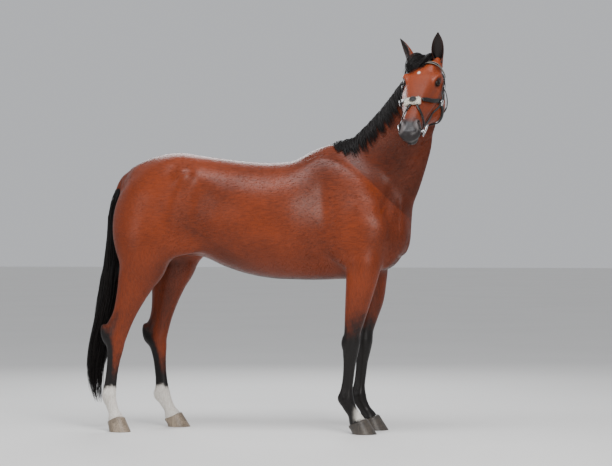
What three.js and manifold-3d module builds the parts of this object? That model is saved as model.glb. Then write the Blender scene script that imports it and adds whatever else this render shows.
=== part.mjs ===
// A bridled bay horse, standing still, as a life-size museum model.
// Units are millimetres, +Z is up, +X runs towards the chest and +Y to the horse's left.
// The flesh is one blended form of swept sections and muscles. It is meshed node by node,
// and parted by thin flat cuts. The head is turned to the horse's right.
import * as THREE from 'three';
import { mergeVertices } from 'three/addons/utils/BufferGeometryUtils.js';
import Module from 'manifold-3d';

const wasm = await Module();
wasm.setup();

// ---- driving dimensions ----------------------------------------------------------------

const GAP = 0.3;                    // left between pieces that touch
const STAND = [-48, 216];            // moves the model so that its box is centred on the origin
const POLL = [1009, -277, 2160];    // top of the head, between the ears
const HEADING = -96.5;              // where the muzzle points, in degrees from +X
const PITCH = 40;                   // slope of the face below level, in degrees
const HEAD_SCALE = 1.04;
const KNEE_CUT = 600;               // the forelegs are parted here, just above the knee
const HOCK_CUT = 690;               // the hind legs are parted here, just above the hock
const SOCK_CUT = { right: 262, left: 250 };   // top of the white hind pasterns
const FORE_CUT = 980;               // the forelegs leave the trunk here
const HIND_CUT = 1060;              // the hind legs leave the trunk here
const EYE_RADIUS = 22.5;
const EAR_LENGTH = 172;
const EAR_WALL = 6;
const STRAP = { width: 20, thick: 4, lift: 2.5 };
const SIDES = { right: -1, left: 1 };

const COAT = 0x8a3a1c;
const COAT_DARK = 0x5a2412;
const BLACK = 0x15110f;
const WHITE = 0xd9d4cc;
const LEATHER = 0x17130f;
const STEEL = 0xc9cbd0;

// ---- small vector helpers --------------------------------------------------------------

const add = (a, b, k = 1) => [a[0] + b[0] * k, a[1] + b[1] * k, a[2] + b[2] * k];
const minus = (a, b) => [a[0] - b[0], a[1] - b[1], a[2] - b[2]];
const dot = (a, b) => a[0] * b[0] + a[1] * b[1] + a[2] * b[2];
const cross = (a, b) => [
  a[1] * b[2] - a[2] * b[1],
  a[2] * b[0] - a[0] * b[2],
  a[0] * b[1] - a[1] * b[0],
];
const length = (a) => Math.hypot(a[0], a[1], a[2]);
const unit = (a) => a.map((value) => value / length(a));
const mix = (a, b, t) => a.map((value, i) => value + (b[i] - value) * t);
const radians = THREE.MathUtils.degToRad;

// ---- forms -----------------------------------------------------------------------------

/** Joins two distances with a soft fillet about `blend` wide. */
function softMin(a, b, blend) {
  const h = Math.max(blend - Math.abs(a - b), 0) / blend;
  return Math.min(a, b) - h * h * blend * 0.25;
}

/** A section of a sweep: its centre and its reach to the front, back and side. */
function section(place, front, back, side, power = 2, facing = null) {
  return { place, front, back, side, power, facing };
}

/** A body of flesh swept through sections, as a signed distance. */
class Sweep {
  constructor(sections, { facing = [0, 0, 1], cap = [50, 50], blend = 40, level = false }) {
    this.blend = blend;
    this.cap = cap;
    this.cut = false;
    this.level = level;
    const rows = sections.map((s) => [
      ...s.place, ...(s.facing ?? facing), s.front, s.back, s.side, s.power,
    ]);
    this.samples = [];
    const perSpan = 6;
    const spans = rows.length - 1;
    const step = rows.slice(1).map((row, i) => length(minus(row, rows[i])));
    const slope = step.map((d, i) => rows[0].map((_, c) => (rows[i + 1][c] - rows[i][c]) / d));
    const tangent = rows.map((_, i) => {
      if (i === 0) return slope[0];
      if (i === spans) return slope[spans - 1];
      const [before, after] = [step[i - 1], step[i]];
      return slope[i].map((v, c) => (v * before + slope[i - 1][c] * after) / (before + after));
    });
    for (let i = 0; i < spans; i++) {
      for (let j = 0; j < perSpan + (i === spans - 1 ? 1 : 0); j++) {
        const t = j / perSpan;
        const h00 = 2 * t ** 3 - 3 * t ** 2 + 1;
        const h10 = t ** 3 - 2 * t ** 2 + t;
        const h01 = 3 * t ** 2 - 2 * t ** 3;
        const h11 = t ** 3 - t ** 2;
        this.samples.push(rows[i].map((v, c) => h00 * v + h10 * tangent[i][c] * step[i]
          + h01 * rows[i + 1][c] + h11 * tangent[i + 1][c] * step[i]));
      }
    }
    const last = this.samples.length - 1;
    this.samples.forEach((row, i) => {
      const before = this.samples[Math.max(i - 1, 0)];
      const after = this.samples[Math.min(i + 1, last)];
      const spacing = i === 0 || i === last ? 1 : 2;
      row.along = level ? [1, 0, 0] : minus(after, before).map((v) => v / spacing);
    });
    this.low = [Infinity, Infinity, Infinity];
    this.high = [-Infinity, -Infinity, -Infinity];
    const reach = Math.max(...cap);
    for (const row of this.samples) {
      const r = Math.max(row[6], row[7], row[8], row === this.samples[0]
        || row === this.samples[last] ? reach : 0);
      for (let axis = 0; axis < 3; axis++) {
        this.low[axis] = Math.min(this.low[axis], row[axis] - r);
        this.high[axis] = Math.max(this.high[axis], row[axis] + r);
      }
    }
  }

  /** The sweep's parameter nearest to a point. */
  nearest(p) {
    const { samples } = this;
    const last = samples.length - 1;
    if (this.level) {
      let k = 0;
      while (k < last - 1 && samples[k + 1][0] < p[0]) k++;
      const u = k + (p[0] - samples[k][0]) / (samples[k + 1][0] - samples[k][0]);
      return THREE.MathUtils.clamp(u, 0, last);
    }
    let u = 0;
    let best = Infinity;
    for (let i = 0; i <= last; i++) {
      const d = (p[0] - samples[i][0]) ** 2 + (p[1] - samples[i][1]) ** 2
        + (p[2] - samples[i][2]) ** 2;
      if (d < best) {
        best = d;
        u = i;
      }
    }
    for (let round = 0; round < 3; round++) {
      const k = Math.min(Math.floor(u), last - 1);
      const centre = mix(samples[k].slice(0, 3), samples[k + 1], u - k);
      const along = mix(samples[k].along, samples[k + 1].along, u - k);
      u += dot(minus(p, centre), along) / dot(along, along);
      u = THREE.MathUtils.clamp(u, 0, last);
    }
    return u;
  }

  distance(p) {
    const { samples } = this;
    const last = samples.length - 1;
    const u = this.nearest(p);
    const k = Math.min(Math.floor(u), last - 1);
    const row = mix([...samples[k]], samples[k + 1], u - k);
    const along = unit(mix(samples[k].along, samples[k + 1].along, u - k));
    const offset = minus(p, row);
    const facing = row.slice(3, 6);
    const front = unit(add(facing, along, -dot(facing, along)));
    const f = dot(offset, front);
    const s = dot(offset, cross(along, front));
    const beyond = dot(offset, along);
    const end = (u <= 0 && beyond < 0) || (u >= last && beyond > 0) ? beyond : 0;
    const power = row[9];
    const radius = Math.hypot(f, s, end);
    const scaled = (Math.abs(f / row[f > 0 ? 6 : 7]) ** power + Math.abs(s / row[8]) ** power
      + Math.abs(end / this.cap[end > 0 ? 1 : 0]) ** power) ** (1 / power);
    return radius * (1 - 1 / Math.max(scaled, 1e-4));
  }
}

/** A spindle of muscle or bone from one point to another, as a signed distance. */
class Spindle {
  constructor(from, to, width, depth, { facing = [0, 1, 0], blend = 30, cut = false } = {}) {
    this.blend = blend;
    this.cut = cut;
    this.middle = mix(from, to, 0.5);
    const x = unit(minus(to, from));
    const z = unit(add(facing, x, -dot(facing, x)));
    this.axes = [x, cross(z, x), z];
    this.radii = [length(minus(to, from)) / 2, width, depth];
    const reach = [0, 1, 2].map((i) => Math.hypot(...this.axes.map((a, k) => a[i] * this.radii[k])));
    this.low = minus(this.middle, reach);
    this.high = add(this.middle, reach);
  }

  distance(p) {
    const offset = minus(p, this.middle);
    const q = this.axes.map((axis) => dot(offset, axis));
    const near = length(q.map((v, i) => v / this.radii[i]));
    const slope = length(q.map((v, i) => v / this.radii[i] ** 2));
    return (near * (near - 1)) / Math.max(slope, 1e-6);
  }
}

/** The blended distance to a list of forms. */
function flesh(forms) {
  return (p) => {
    let total = 1000;
    for (const form of forms) {
      const margin = 60 + form.blend;
      const outside = p.some((v, i) => v < form.low[i] - margin || v > form.high[i] + margin);
      if (outside) continue;
      const d = form.distance(p);
      total = form.cut ? -softMin(-total, d, form.blend) : softMin(total, d, form.blend);
    }
    return total;
  };
}

// ---- trunk and neck --------------------------------------------------------------------

/** The trunk's outline by X: top, bottom, half width, height of the widest part, squareness. */
const TRUNK = [
  { x: -805, top: 1495, bottom: 1180, half: 110, widest: 1350, power: 2 },
  { x: -745, top: 1560, bottom: 1080, half: 182, widest: 1335, power: 2.1 },
  { x: -690, top: 1590, bottom: 1050, half: 215, widest: 1330, power: 2.2 },
  { x: -580, top: 1627, bottom: 1030, half: 250, widest: 1340, power: 2.2 },
  { x: -460, top: 1638, bottom: 1030, half: 265, widest: 1360, power: 2.2 },
  { x: -340, top: 1620, bottom: 1020, half: 262, widest: 1340, power: 2.2 },
  { x: -200, top: 1600, bottom: 962, half: 275, widest: 1270, power: 2.2 },
  { x: -50, top: 1583, bottom: 915, half: 295, widest: 1240, power: 2.2 },
  { x: 100, top: 1577, bottom: 892, half: 300, widest: 1220, power: 2.2 },
  { x: 220, top: 1592, bottom: 887, half: 290, widest: 1220, power: 2.2 },
  { x: 330, top: 1648, bottom: 885, half: 265, widest: 1200, power: 2 },
  { x: 440, top: 1678, bottom: 888, half: 235, widest: 1180, power: 1.9 },
  { x: 550, top: 1650, bottom: 893, half: 220, widest: 1170, power: 1.9 },
  { x: 660, top: 1560, bottom: 915, half: 210, widest: 1170, power: 2 },
  { x: 760, top: 1460, bottom: 960, half: 185, widest: 1180, power: 2.1 },
  { x: 840, top: 1350, bottom: 1030, half: 135, widest: 1180, power: 2.1 },
];

function trunkForms() {
  const rows = TRUNK.map(({ x, top, bottom, half, widest, power }) => (
    section([x, 0, widest], top - widest, widest - bottom, half, power)));
  const forms = [new Sweep(rows, { cap: [30, 55], blend: 50, level: true })];
  for (const s of Object.values(SIDES)) {
    const scapula = new Spindle([360, s * 130, 1580], [740, s * 185, 1170], 115, 55, { blend: 70 });
    const triceps = new Spindle([440, s * 185, 1360], [600, s * 205, 980], 125, 55, { blend: 60 });
    const shoulder = new Spindle([600, s * 185, 1300], [740, s * 175, 1060], 100, 65, { blend: 50 });
    const pectoral = new Spindle([800, s * 75, 1280], [720, s * 90, 950], 75, 100,
      { facing: [1, 0, 0], blend: 50 });
    const gluteal = new Spindle([-360, s * 120, 1530], [-720, s * 140, 1240], 150, 90,
      { facing: [0, 1, 0.3], blend: 80 });
    const hip = new Spindle([-385, s * 200, 1530], [-420, s * 235, 1450], 35, 35, { blend: 70 });
    forms.push(scapula, triceps, shoulder, pectoral, gluteal, hip);
  }
  return forms;
}

function neckForms() {
  const rows = [
    section([520, 0, 1300], 330, 300, 150, 2, [-0.55, 0, 0.83]),
    section([680, 0, 1450], 285, 265, 125, 2, [-0.68, 0, 0.73]),
    section([800, -35, 1620], 230, 215, 98, 2, [-0.78, 0.05, 0.62]),
    section([900, -100, 1790], 188, 172, 84, 2, [-0.78, 0.3, 0.55]),
    section([968, -175, 1950], 150, 138, 76, 2.1, [-0.6, 0.55, 0.55]),
    section([998, -240, 2065], 95, 115, 70, 2.1, [-0.25, 0.75, 0.6]),
  ];
  return [new Sweep(rows, { cap: [120, 50], blend: 100 })];
}

// ---- head ------------------------------------------------------------------------------

/** The head's own axes: along the face, to its left, and out of the face. */
const head = (() => {
  const [turn, slope] = [radians(HEADING), radians(PITCH)];
  const along = [Math.cos(slope) * Math.cos(turn), Math.cos(slope) * Math.sin(turn), -Math.sin(slope)];
  const up = [Math.sin(slope) * Math.cos(turn), Math.sin(slope) * Math.sin(turn), Math.cos(slope)];
  const left = cross(up, along);
  const way = (s, l, d) => add(add(along.map((v) => v * s), left, l), up, d);
  const at = (s, l, d) => add(POLL, way(s, l, d), HEAD_SCALE);
  return { along, up, left, way, at };
})();

/** The skull and jaw by distance from the poll: centre, rise, drop, half width, squareness. */
const SKULL = [
  { s: 10, centre: -95, rise: 58, drop: 70, half: 58, power: 2 },
  { s: 45, centre: -90, rise: 82, drop: 85, half: 88, power: 2.1 },
  { s: 95, centre: -85, rise: 90, drop: 80, half: 106, power: 2.2 },
  { s: 150, centre: -82, rise: 87, drop: 75, half: 106, power: 2.4 },
  { s: 210, centre: -80, rise: 80, drop: 70, half: 93, power: 2.5 },
  { s: 280, centre: -80, rise: 73, drop: 62, half: 79, power: 2.5 },
  { s: 350, centre: -80, rise: 66, drop: 54, half: 66, power: 2.4 },
  { s: 420, centre: -80, rise: 59, drop: 45, half: 57, power: 2.3 },
  { s: 480, centre: -80, rise: 53, drop: 40, half: 53, power: 2.2 },
  { s: 540, centre: -80, rise: 46, drop: 36, half: 52, power: 2.1 },
  { s: 590, centre: -82, rise: 38, drop: 32, half: 49, power: 2 },
];
const JAW = [
  { s: 100, centre: -178, rise: 70, drop: 70, half: 86, power: 2 },
  { s: 155, centre: -194, rise: 70, drop: 88, half: 98, power: 2.1 },
  { s: 215, centre: -192, rise: 70, drop: 84, half: 95, power: 2.1 },
  { s: 290, centre: -176, rise: 60, drop: 66, half: 78, power: 2.1 },
  { s: 370, centre: -158, rise: 45, drop: 49, half: 59, power: 2.1 },
  { s: 450, centre: -142, rise: 35, drop: 37, half: 44, power: 2 },
  { s: 520, centre: -130, rise: 28, drop: 28, half: 39, power: 2 },
  { s: 570, centre: -126, rise: 22, drop: 26, half: 35, power: 2 },
];
const EYE = { s: 172, l: 80, d: -47 };
/** The ways the left eye looks and its lids run, by the head's own axes. */
const EYE_AXES = { out: [0.52, 1, 0.16], lids: [0.88, -0.5, -0.24] };
const SOCKET = { outward: 27, reach: [30, 19, 16] };

function headForms() {
  const { at, way, up } = head;
  const k = HEAD_SCALE;
  const sweep = (rows, cap, blend) => new Sweep(
    rows.map((r) => section(at(r.s, 0, r.centre), r.rise * k, r.drop * k, r.half * k, r.power)),
    { facing: up, cap, blend });
  const muscle = (a, b, width, depth, facing, blend, cut = false) => (
    new Spindle(at(...a), at(...b), width * k, depth * k, { facing, blend, cut }));
  const side = way(0, 1, 0);
  const forms = [
    sweep(SKULL, [50, 34], 40),
    sweep(JAW, [45, 28], 22),
    muscle([530, 0, -140], [600, 0, -130], 33, 27, up, 14),
    muscle([535, 0, -82], [634, 0, -88], 50, 37, up, 20),
  ];
  for (const s of Object.values(SIDES)) {
    forms.push(
      muscle([90, s * 70, -196], [300, s * 66, -158], 92, 42, side, 30),
      muscle([106, s * 92, -28], [214, s * 84, -38], 24, 24, way(0, 0.75, 0.65), 22),
      muscle([190, s * 78, -100], [460, s * 44, -96], 24, 20, side, 40),
      muscle([515, s * 36, -38], [604, s * 46, -76], 29, 22, side, 20),
      muscle([20, s * 50, -22], [120, s * 54, -30], 34, 34, way(0, 0.7, 0.7), 30),
    );
  }
  return forms;
}

// ---- legs ------------------------------------------------------------------------------

/** Where each foot stands: the middle of the coronet and the way the toe points, in degrees. */
const FEET = {
  fore_right: { place: [606, -137, 68], toe: 0, scale: 1 },
  fore_left: { place: [642, 137, 68], toe: 0, scale: 1 },
  hind_right: { place: [-818, -190, 68], toe: -35, scale: 0.94 },
  hind_left: { place: [-553, 159, 66], toe: 8, scale: 0.94 },
};

/** How far each foreleg stands ahead, reached gradually between the elbow and the forearm. */
const FORE_AHEAD = { right: -10, left: 26, from: 980, over: 210 };

function forelegForms(s) {
  const ahead = s < 0 ? FORE_AHEAD.right : FORE_AHEAD.left;
  const shift = (z) => ahead * THREE.MathUtils.clamp((FORE_AHEAD.from - z) / FORE_AHEAD.over, 0, 1);
  const at = (x, y, z, front, back, side) => (
    section([x + shift(z), s * y, z], front, back, side));
  const rows = [
    at(665, 165, 1100, 85, 115, 70),
    at(645, 178, 980, 100, 110, 82),
    at(632, 176, 890, 94, 92, 78),
    at(616, 166, 770, 78, 76, 64),
    at(597, 157, 660, 60, 62, 50),
    at(583, 150, 580, 50, 52, 46),
    at(577, 146, 520, 52, 55, 49),
    at(573, 144, 470, 46, 50, 43),
    at(568, 142, 410, 36, 42, 32),
    at(560, 140, 330, 33, 38, 27),
    at(552, 138, 260, 34, 41, 28),
    at(549, 137, 205, 43, 50, 37),
    at(565, 137, 160, 37, 43, 33),
    at(588, 137, 115, 36, 38, 33),
    at(606, 137, 80, 46, 50, 46),
    at(616, 137, 58, 50, 52, 50),
    at(626, 137, 20, 46, 46, 46),
  ];
  return [new Sweep(rows, { facing: [1, 0, 0], cap: [80, 10], blend: 50 })];
}

/** A hind leg through its thigh, hock and fetlock, with the foot turned by `toe` degrees. */
function hindlegForms(s, { thigh, hock, fetlock, toe }) {
  const hip = [-600, s * 150, 1340];
  const way = [Math.cos(radians(toe)), Math.sin(radians(toe)), 0];
  const foot = (forward, down) => add(add(fetlock, way, forward), [0, 0, -down]);
  const rows = [
    section(hip, 170, 190, 100),
    section(add(mix(hip, thigh, 0.5), [-10, s * 12, 0]), 165, 165, 115),
    section(thigh, 145, 140, 105),
    section(mix(thigh, hock, 0.25), 108, 112, 78),
    section(mix(thigh, hock, 0.5), 80, 85, 57),
    section(mix(thigh, hock, 0.72), 65, 73, 46),
    section(mix(thigh, hock, 0.9), 61, 82, 44),
    section(hock, 61, 76, 48),
    section(mix(hock, fetlock, 0.18), 53, 53, 42),
    section(mix(hock, fetlock, 0.38), 42, 42, 31),
    section(mix(hock, fetlock, 0.6), 36, 40, 27),
    section(mix(hock, fetlock, 0.8), 37, 43, 28),
    section(fetlock, 45, 52, 37, 2, way),
    section(foot(20, 47), 38, 44, 33, 2, way),
    section(foot(40, 90), 37, 39, 33, 2, way),
    section(foot(54, 120), 46, 50, 46, 2, way),
    section(foot(62, 142), 48, 50, 48, 2, way),
    section(foot(70, 175), 44, 44, 44, 2, way),
  ];
  const heel = new Spindle(add(hock, [-62, 0, -30]), add(hock, [-80, 0, 85]), 22, 24,
    { facing: [1, 0, 0], blend: 30 });
  const quadriceps = new Spindle([-400, s * 205, 1460], [thigh[0] + 110, s * 215, 1000], 85, 55,
    { blend: 70 });
  const hamstring = new Spindle([-775, s * 100, 1380], [thigh[0] - 75, s * 165, 1000], 95, 75,
    { blend: 70 });
  return [
    new Sweep(rows, { facing: [1, 0, 0], cap: [120, 10], blend: 70 }),
    heel, quadriceps, hamstring,
  ];
}

const HIND = {
  right: { thigh: [-668, -165, 975], hock: [-828, -155, 545], fetlock: [-868, -155, 200], toe: -35 },
  left: { thigh: [-560, 165, 975], hock: [-652, 155, 535], fetlock: [-615, 150, 195], toe: 8 },
};

// ---- meshing ---------------------------------------------------------------------------

/** Ways to slide a grid, in cells, tried in turn until its mesh is a proper solid. */
const SLIDES = [
  [0, 0, 0], [0, 0, 0.5], [0.5, 0, 0], [0, 0.5, 0], [0.5, 0.5, 0], [0.5, 0, 0.5], [0, 0.5, 0.5],
  [0.3, 0.2, 0.4], [0.7, 0.1, 0.2], [0.2, 0.6, 0.8], [0.4, 0.8, 0.6], [0.1, 0.4, 0.7],
];

/** A mesh of the skin between two corners: the solid itself, and one grown by the gap. */
function meshSkin([low, high], cell) {
  for (const slide of SLIDES) {
    const start = low.map((v, i) => v - slide[i] * cell[i]);
    const { vertices, triangles } = meshField(skin, start, high, cell);
    try {
      const solid = solidOf(vertices.flat(), triangles.flat());
      const outer = vertices.map((p) => add(p, unit(slopeOf(skin, p)), GAP));
      return { solid, fat: solidOf(outer.flat(), triangles.flat()) };
    } catch (error) {
      if (error.code !== 'NotManifold') throw error;
    }
  }
  throw new Error(`no grid of cell ${cell} meshes the skin from ${low} to ${high}`);
}

/** The twelve edges of a cell: four along each axis, by their start corner. */
const CELL_EDGES = [];
for (let axis = 0; axis < 3; axis++) {
  for (let n = 0; n < 4; n++) {
    const start = [0, 0, 0];
    start[(axis + 1) % 3] = n >> 1;
    start[(axis + 2) % 3] = n & 1;
    const end = [...start];
    end[axis] = 1;
    CELL_EDGES.push([start, end]);
  }
}

/** For each face of a cell, its corners, each with the two edges of the face that meet there. */
const CELL_FACES = [];
for (let axis = 0; axis < 3; axis++) {
  for (const side of [0, 1]) {
    const meets = ([a, b], corner) => a[axis] === side && b[axis] === side
      && [a, b].some((end) => end.every((v, i) => v === corner[i]));
    const corners = [[0, 0], [0, 1], [1, 0], [1, 1]].map(([u, v]) => {
      const corner = [0, 0, 0];
      corner[axis] = side;
      corner[(axis + 1) % 3] = u;
      corner[(axis + 2) % 3] = v;
      const edges = CELL_EDGES.map((edge, n) => (meets(edge, corner) ? n : -1));
      return { corner, edges: edges.filter((n) => n >= 0) };
    });
    CELL_FACES.push(corners);
  }
}

/** Groups the crossed edges of a cell into the separate sheets that pass through it. */
function sheetsOf(crossed, inside) {
  const group = CELL_EDGES.map((_, n) => n);
  const root = (n) => (group[n] === n ? n : root(group[n]));
  const join = (edges) => edges.slice(1).forEach((n) => { group[root(n)] = root(edges[0]); });
  for (const face of CELL_FACES) {
    const cut = new Set(face.flatMap(({ edges }) => edges).filter((n) => crossed[n]));
    if (cut.size === 2) join([...cut]);
    if (cut.size === 4) {
      for (const { corner, edges } of face) {
        if (inside(corner)) join(edges);
      }
    }
  }
  const sheets = new Map();
  crossed.forEach((cut, n) => {
    if (!cut) return;
    const key = root(n);
    sheets.set(key, [...(sheets.get(key) ?? []), n]);
  });
  return [...sheets.values()];
}

/**
 * Meshes the zero level of `field` between two corners, a vertex for each sheet in each cell.
 * What reaches the corners' box is closed off there, outside the cuts that part the nodes.
 */
function meshField(field, low, high, cell) {
  const count = low.map((v, i) => Math.ceil((high[i] - v) / cell[i]) + 1);
  const index = (i, j, k) => (i * count[1] + j) * count[2] + k;
  const at = (i, j, k) => [low[0] + i * cell[0], low[1] + j * cell[1], low[2] + k * cell[2]];
  const values = new Float64Array(count[0] * count[1] * count[2]);
  for (let i = 0; i < count[0]; i++) {
    for (let j = 0; j < count[1]; j++) {
      for (let k = 0; k < count[2]; k++) {
        const rim = i === 0 || j === 0 || k === 0
          || i === count[0] - 1 || j === count[1] - 1 || k === count[2] - 1;
        values[index(i, j, k)] = rim ? 1 : field(at(i, j, k));
      }
    }
  }
  const vertexOf = new Map();
  const vertices = [];
  for (let i = 0; i < count[0] - 1; i++) {
    for (let j = 0; j < count[1] - 1; j++) {
      for (let k = 0; k < count[2] - 1; k++) {
        const value = (c) => values[index(i + c[0], j + c[1], k + c[2])];
        const crossed = CELL_EDGES.map(([a, b]) => value(a) < 0 !== value(b) < 0);
        if (!crossed.includes(true)) continue;
        const inner = i > 0 && j > 0 && k > 0
          && i < count[0] - 2 && j < count[1] - 2 && k < count[2] - 2;
        for (const sheet of sheetsOf(crossed, (corner) => value(corner) < 0)) {
          let total = [0, 0, 0];
          for (const n of sheet) {
            const [a, b] = CELL_EDGES[n];
            total = add(total, mix(a, b, value(a) / (value(a) - value(b))));
            vertexOf.set(index(i, j, k) * 12 + n, vertices.length);
          }
          const [x, y, z] = total.map((v) => v / sheet.length);
          const p = at(i + x, j + y, k + z);
          vertices.push(inner ? settle(field, p, 0) : p);
        }
      }
    }
  }
  const triangles = [];
  const quad = (a, b, c, d) => {
    const [p, q, r, s] = [a, b, c, d].map((n) => vertices[n]);
    if (length(minus(p, r)) <= length(minus(q, s))) triangles.push([a, b, c], [a, c, d]);
    else triangles.push([b, c, d], [b, d, a]);
  };
  for (let i = 0; i < count[0] - 1; i++) {
    for (let j = 0; j < count[1] - 1; j++) {
      for (let k = 0; k < count[2] - 1; k++) {
        const here = values[index(i, j, k)] < 0;
        for (let axis = 0; axis < 3; axis++) {
          const next = [i, j, k];
          next[axis] += 1;
          if (values[index(...next)] < 0 === here) continue;
          const [u, v] = [(axis + 1) % 3, (axis + 2) % 3];
          const around = [[1, 1], [0, 1], [0, 0], [1, 0]].map(([du, dv]) => {
            const c = [i, j, k];
            c[u] -= du;
            c[v] -= dv;
            return vertexOf.get(index(...c) * 12 + axis * 4 + du * 2 + dv);
          });
          if (!here) around.reverse();
          quad(...around);
        }
      }
    }
  }
  return { vertices, triangles };
}

/** Moves a point onto the level `offset` of a field. */
function settle(field, start, offset) {
  let p = start;
  for (let round = 0; round < 3; round++) {
    const gradient = slopeOf(field, p);
    const d = THREE.MathUtils.clamp(field(p) - offset, -15, 15);
    p = add(p, gradient, -d / Math.max(dot(gradient, gradient), 0.3));
  }
  return p;
}

function slopeOf(field, p) {
  return [0, 1, 2].map((axis) => {
    const step = [0, 0, 0];
    step[axis] = 1;
    return (field(add(p, step)) - field(add(p, step, -1))) / 2;
  });
}

/** A solid for joining and cutting, from flat lists of coordinates and corner numbers. */
function solidOf(coordinates, corners) {
  return new wasm.Manifold(new wasm.Mesh({
    numProp: 3,
    vertProperties: new Float32Array(coordinates),
    triVerts: new Uint32Array(corners),
  }));
}

/** A solid from a three.js geometry, moved by a matrix. */
function solidFrom(geometry, matrix = new THREE.Matrix4()) {
  const bare = geometry.clone();
  bare.deleteAttribute('normal');
  bare.deleteAttribute('uv');
  const merged = mergeVertices(bare.applyMatrix4(matrix), 0.01);
  return solidOf(merged.attributes.position.array, merged.index.array);
}

/** A box between two corners, in axes of its own from a centre. */
function block(low, high, centre = [0, 0, 0], axes = [[1, 0, 0], [0, 1, 0], [0, 0, 1]]) {
  const size = minus(high, low);
  const middle = mix(low, high, 0.5);
  const place = axes.reduce((sum, axis, i) => add(sum, axis, middle[i]), centre);
  const basis = new THREE.Matrix4().makeBasis(...axes.map((a) => new THREE.Vector3(...a)));
  basis.setPosition(...place);
  return solidFrom(new THREE.BoxGeometry(...size), basis);
}

/** The largest single piece of a solid, so that no sliver is left beside it. */
function whole(solid) {
  const pieces = solid.decompose();
  return pieces.reduce((best, piece) => (piece.volume() > best.volume() ? piece : best));
}

// ---- the scene graph -------------------------------------------------------------------

const horse = new THREE.Group();
horse.name = 'horse';
horse.position.set(STAND[0], STAND[1], 0);

function place(name, solid, color, { roughness = 0.55, metalness = 0 } = {}) {
  const { vertProperties, triVerts } = whole(solid).getMesh();
  const geometry = new THREE.BufferGeometry();
  geometry.setAttribute('position', new THREE.BufferAttribute(new Float32Array(vertProperties), 3));
  geometry.setIndex(new THREE.BufferAttribute(new Uint32Array(triVerts), 1));
  geometry.computeVertexNormals();
  const material = new THREE.MeshStandardMaterial({ color, roughness, metalness });
  const mesh = new THREE.Mesh(geometry, material);
  mesh.name = name;
  horse.add(mesh);
  return mesh;
}

const bodyForms = [
  ...trunkForms(), ...neckForms(), ...forelegForms(-1), ...forelegForms(1),
  ...hindlegForms(-1, HIND.right), ...hindlegForms(1, HIND.left),
];
const skin = flesh([...bodyForms, ...headForms()]);

/** A long box on the far side of a slanted plane, for parting the nodes. */
const PART = {
  neck: { normal: [0.6925, 0, 0.7215], from: 1520 },
  head: { along: 0.778, out: 0.629, from: -32 },
};

/** The side of the trunk's slanted cut that holds the neck and head. */
function neckSide(gap) {
  const [x, , z] = PART.neck.normal;
  const axes = [[x, 0, z], [0, 1, 0], [-z, 0, x]];
  return block([PART.neck.from + gap, -1000, -3000], [4000, 1000, 3000], [0, 0, 0], axes);
}

/** The block that holds the head, up to the cut behind the ears and jaw. */
function headSide(gap) {
  const { along, out, from } = PART.head;
  const axes = [head.way(along, 0, out), head.left, head.way(-out, 0, along)];
  return block([from + gap, -320, -620], [900, 320, 250], POLL, axes);
}

const CELL = {
  trunk: [116, 84, 84],
  neck: [76, 64, 68],
  head: [30, 30, 30],
  upper: [50, 50, 66],
  lower: [27, 27, 54],
};
const BOX = {
  trunk: [[-1040, -480, 760], [1040, 480, 1840]],
  neck: [[210, -580, 950], [1270, 440, 2400]],
  head: [[730, -900, 1530], [1270, 10, 2370]],
};

// ---- trunk, neck and head ---------------------------------------------------------------

const legBlocks = [];
for (const s of Object.values(SIDES)) {
  const across = (inner, outer) => (s > 0 ? [inner, outer] : [-outer, -inner]);
  const fore = across(90, 380);
  const hind = across(0, 420);
  legBlocks.push(block([500, fore[0], -50], [790, fore[1], FORE_CUT]));
  legBlocks.push(block([-990, hind[0], -50], [-400, hind[1], HIND_CUT]));
}
const trunkMesh = meshSkin(BOX.trunk, CELL.trunk);
const neckMesh = meshSkin(BOX.neck, CELL.neck);
const headMesh = meshSkin(BOX.head, CELL.head);
place('trunk', legBlocks.reduce((solid, b) => solid.subtract(b),
  trunkMesh.solid.subtract(neckSide(-GAP))), COAT);
place('neck', neckMesh.solid.intersect(neckSide(0)).subtract(headSide(-GAP)), COAT);

/** A ball set in the head and squashed to `reach` along the lids, across them and outward. */
function ballInHead(s, outward, reach, [around, down] = [10, 6]) {
  const out = unit(head.way(...EYE_AXES.out.map((v, i) => (i === 1 ? v * s : v))));
  const lids = head.way(...EYE_AXES.lids.map((v, i) => (i === 1 ? v * s : v)));
  const wide = unit(add(lids, out, -dot(lids, out)));
  const axes = [wide, cross(out, wide), out].map((axis, i) => (
    new THREE.Vector3(...axis).multiplyScalar(reach[i])));
  const turn = new THREE.Matrix4().makeBasis(...axes);
  turn.setPosition(...add(head.at(EYE.s, s * EYE.l, EYE.d), out, outward));
  return solidFrom(new THREE.SphereGeometry(1, around, down).rotateX(Math.PI / 2), turn);
}

/** The eyeball, grown by `gap`. */
const eyeBall = (s, gap = 0) => ballInHead(s, 0, Array(3).fill(EYE_RADIUS + gap));

/** The hollow between the lids, in front of the eyeball. */
const socket = (s) => ballInHead(s, SOCKET.outward, SOCKET.reach, [8, 4]);

const hollows = [-1, 1].flatMap((s) => [eyeBall(s, 0.5), socket(s)]);
place('head', hollows.reduce((solid, hollow) => solid.subtract(hollow),
  headMesh.solid.intersect(headSide(0))), COAT);
place('eye_right', eyeBall(-1), 0x120c0a, { roughness: 0.08 });
place('eye_left', eyeBall(1), 0x120c0a, { roughness: 0.08 });

/** Cuts away all that would run into the flesh of the head, neck and trunk. */
const fleshGrown = [
  headMesh.fat.intersect(headSide(-GAP)),
  neckMesh.fat.intersect(neckSide(-GAP)).subtract(headSide(GAP)),
  trunkMesh.fat.subtract(neckSide(GAP)),
];
const offTheFlesh = (solid) => fleshGrown.reduce((rest, grown) => rest.subtract(grown), solid);

// ---- legs and hooves --------------------------------------------------------------------

const HOOF = {
  tilt: 20,
  top: { front: 53, back: 55, side: 53 },
  sole: { centre: 30, front: 78, back: 66, side: 65 },
};

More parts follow.
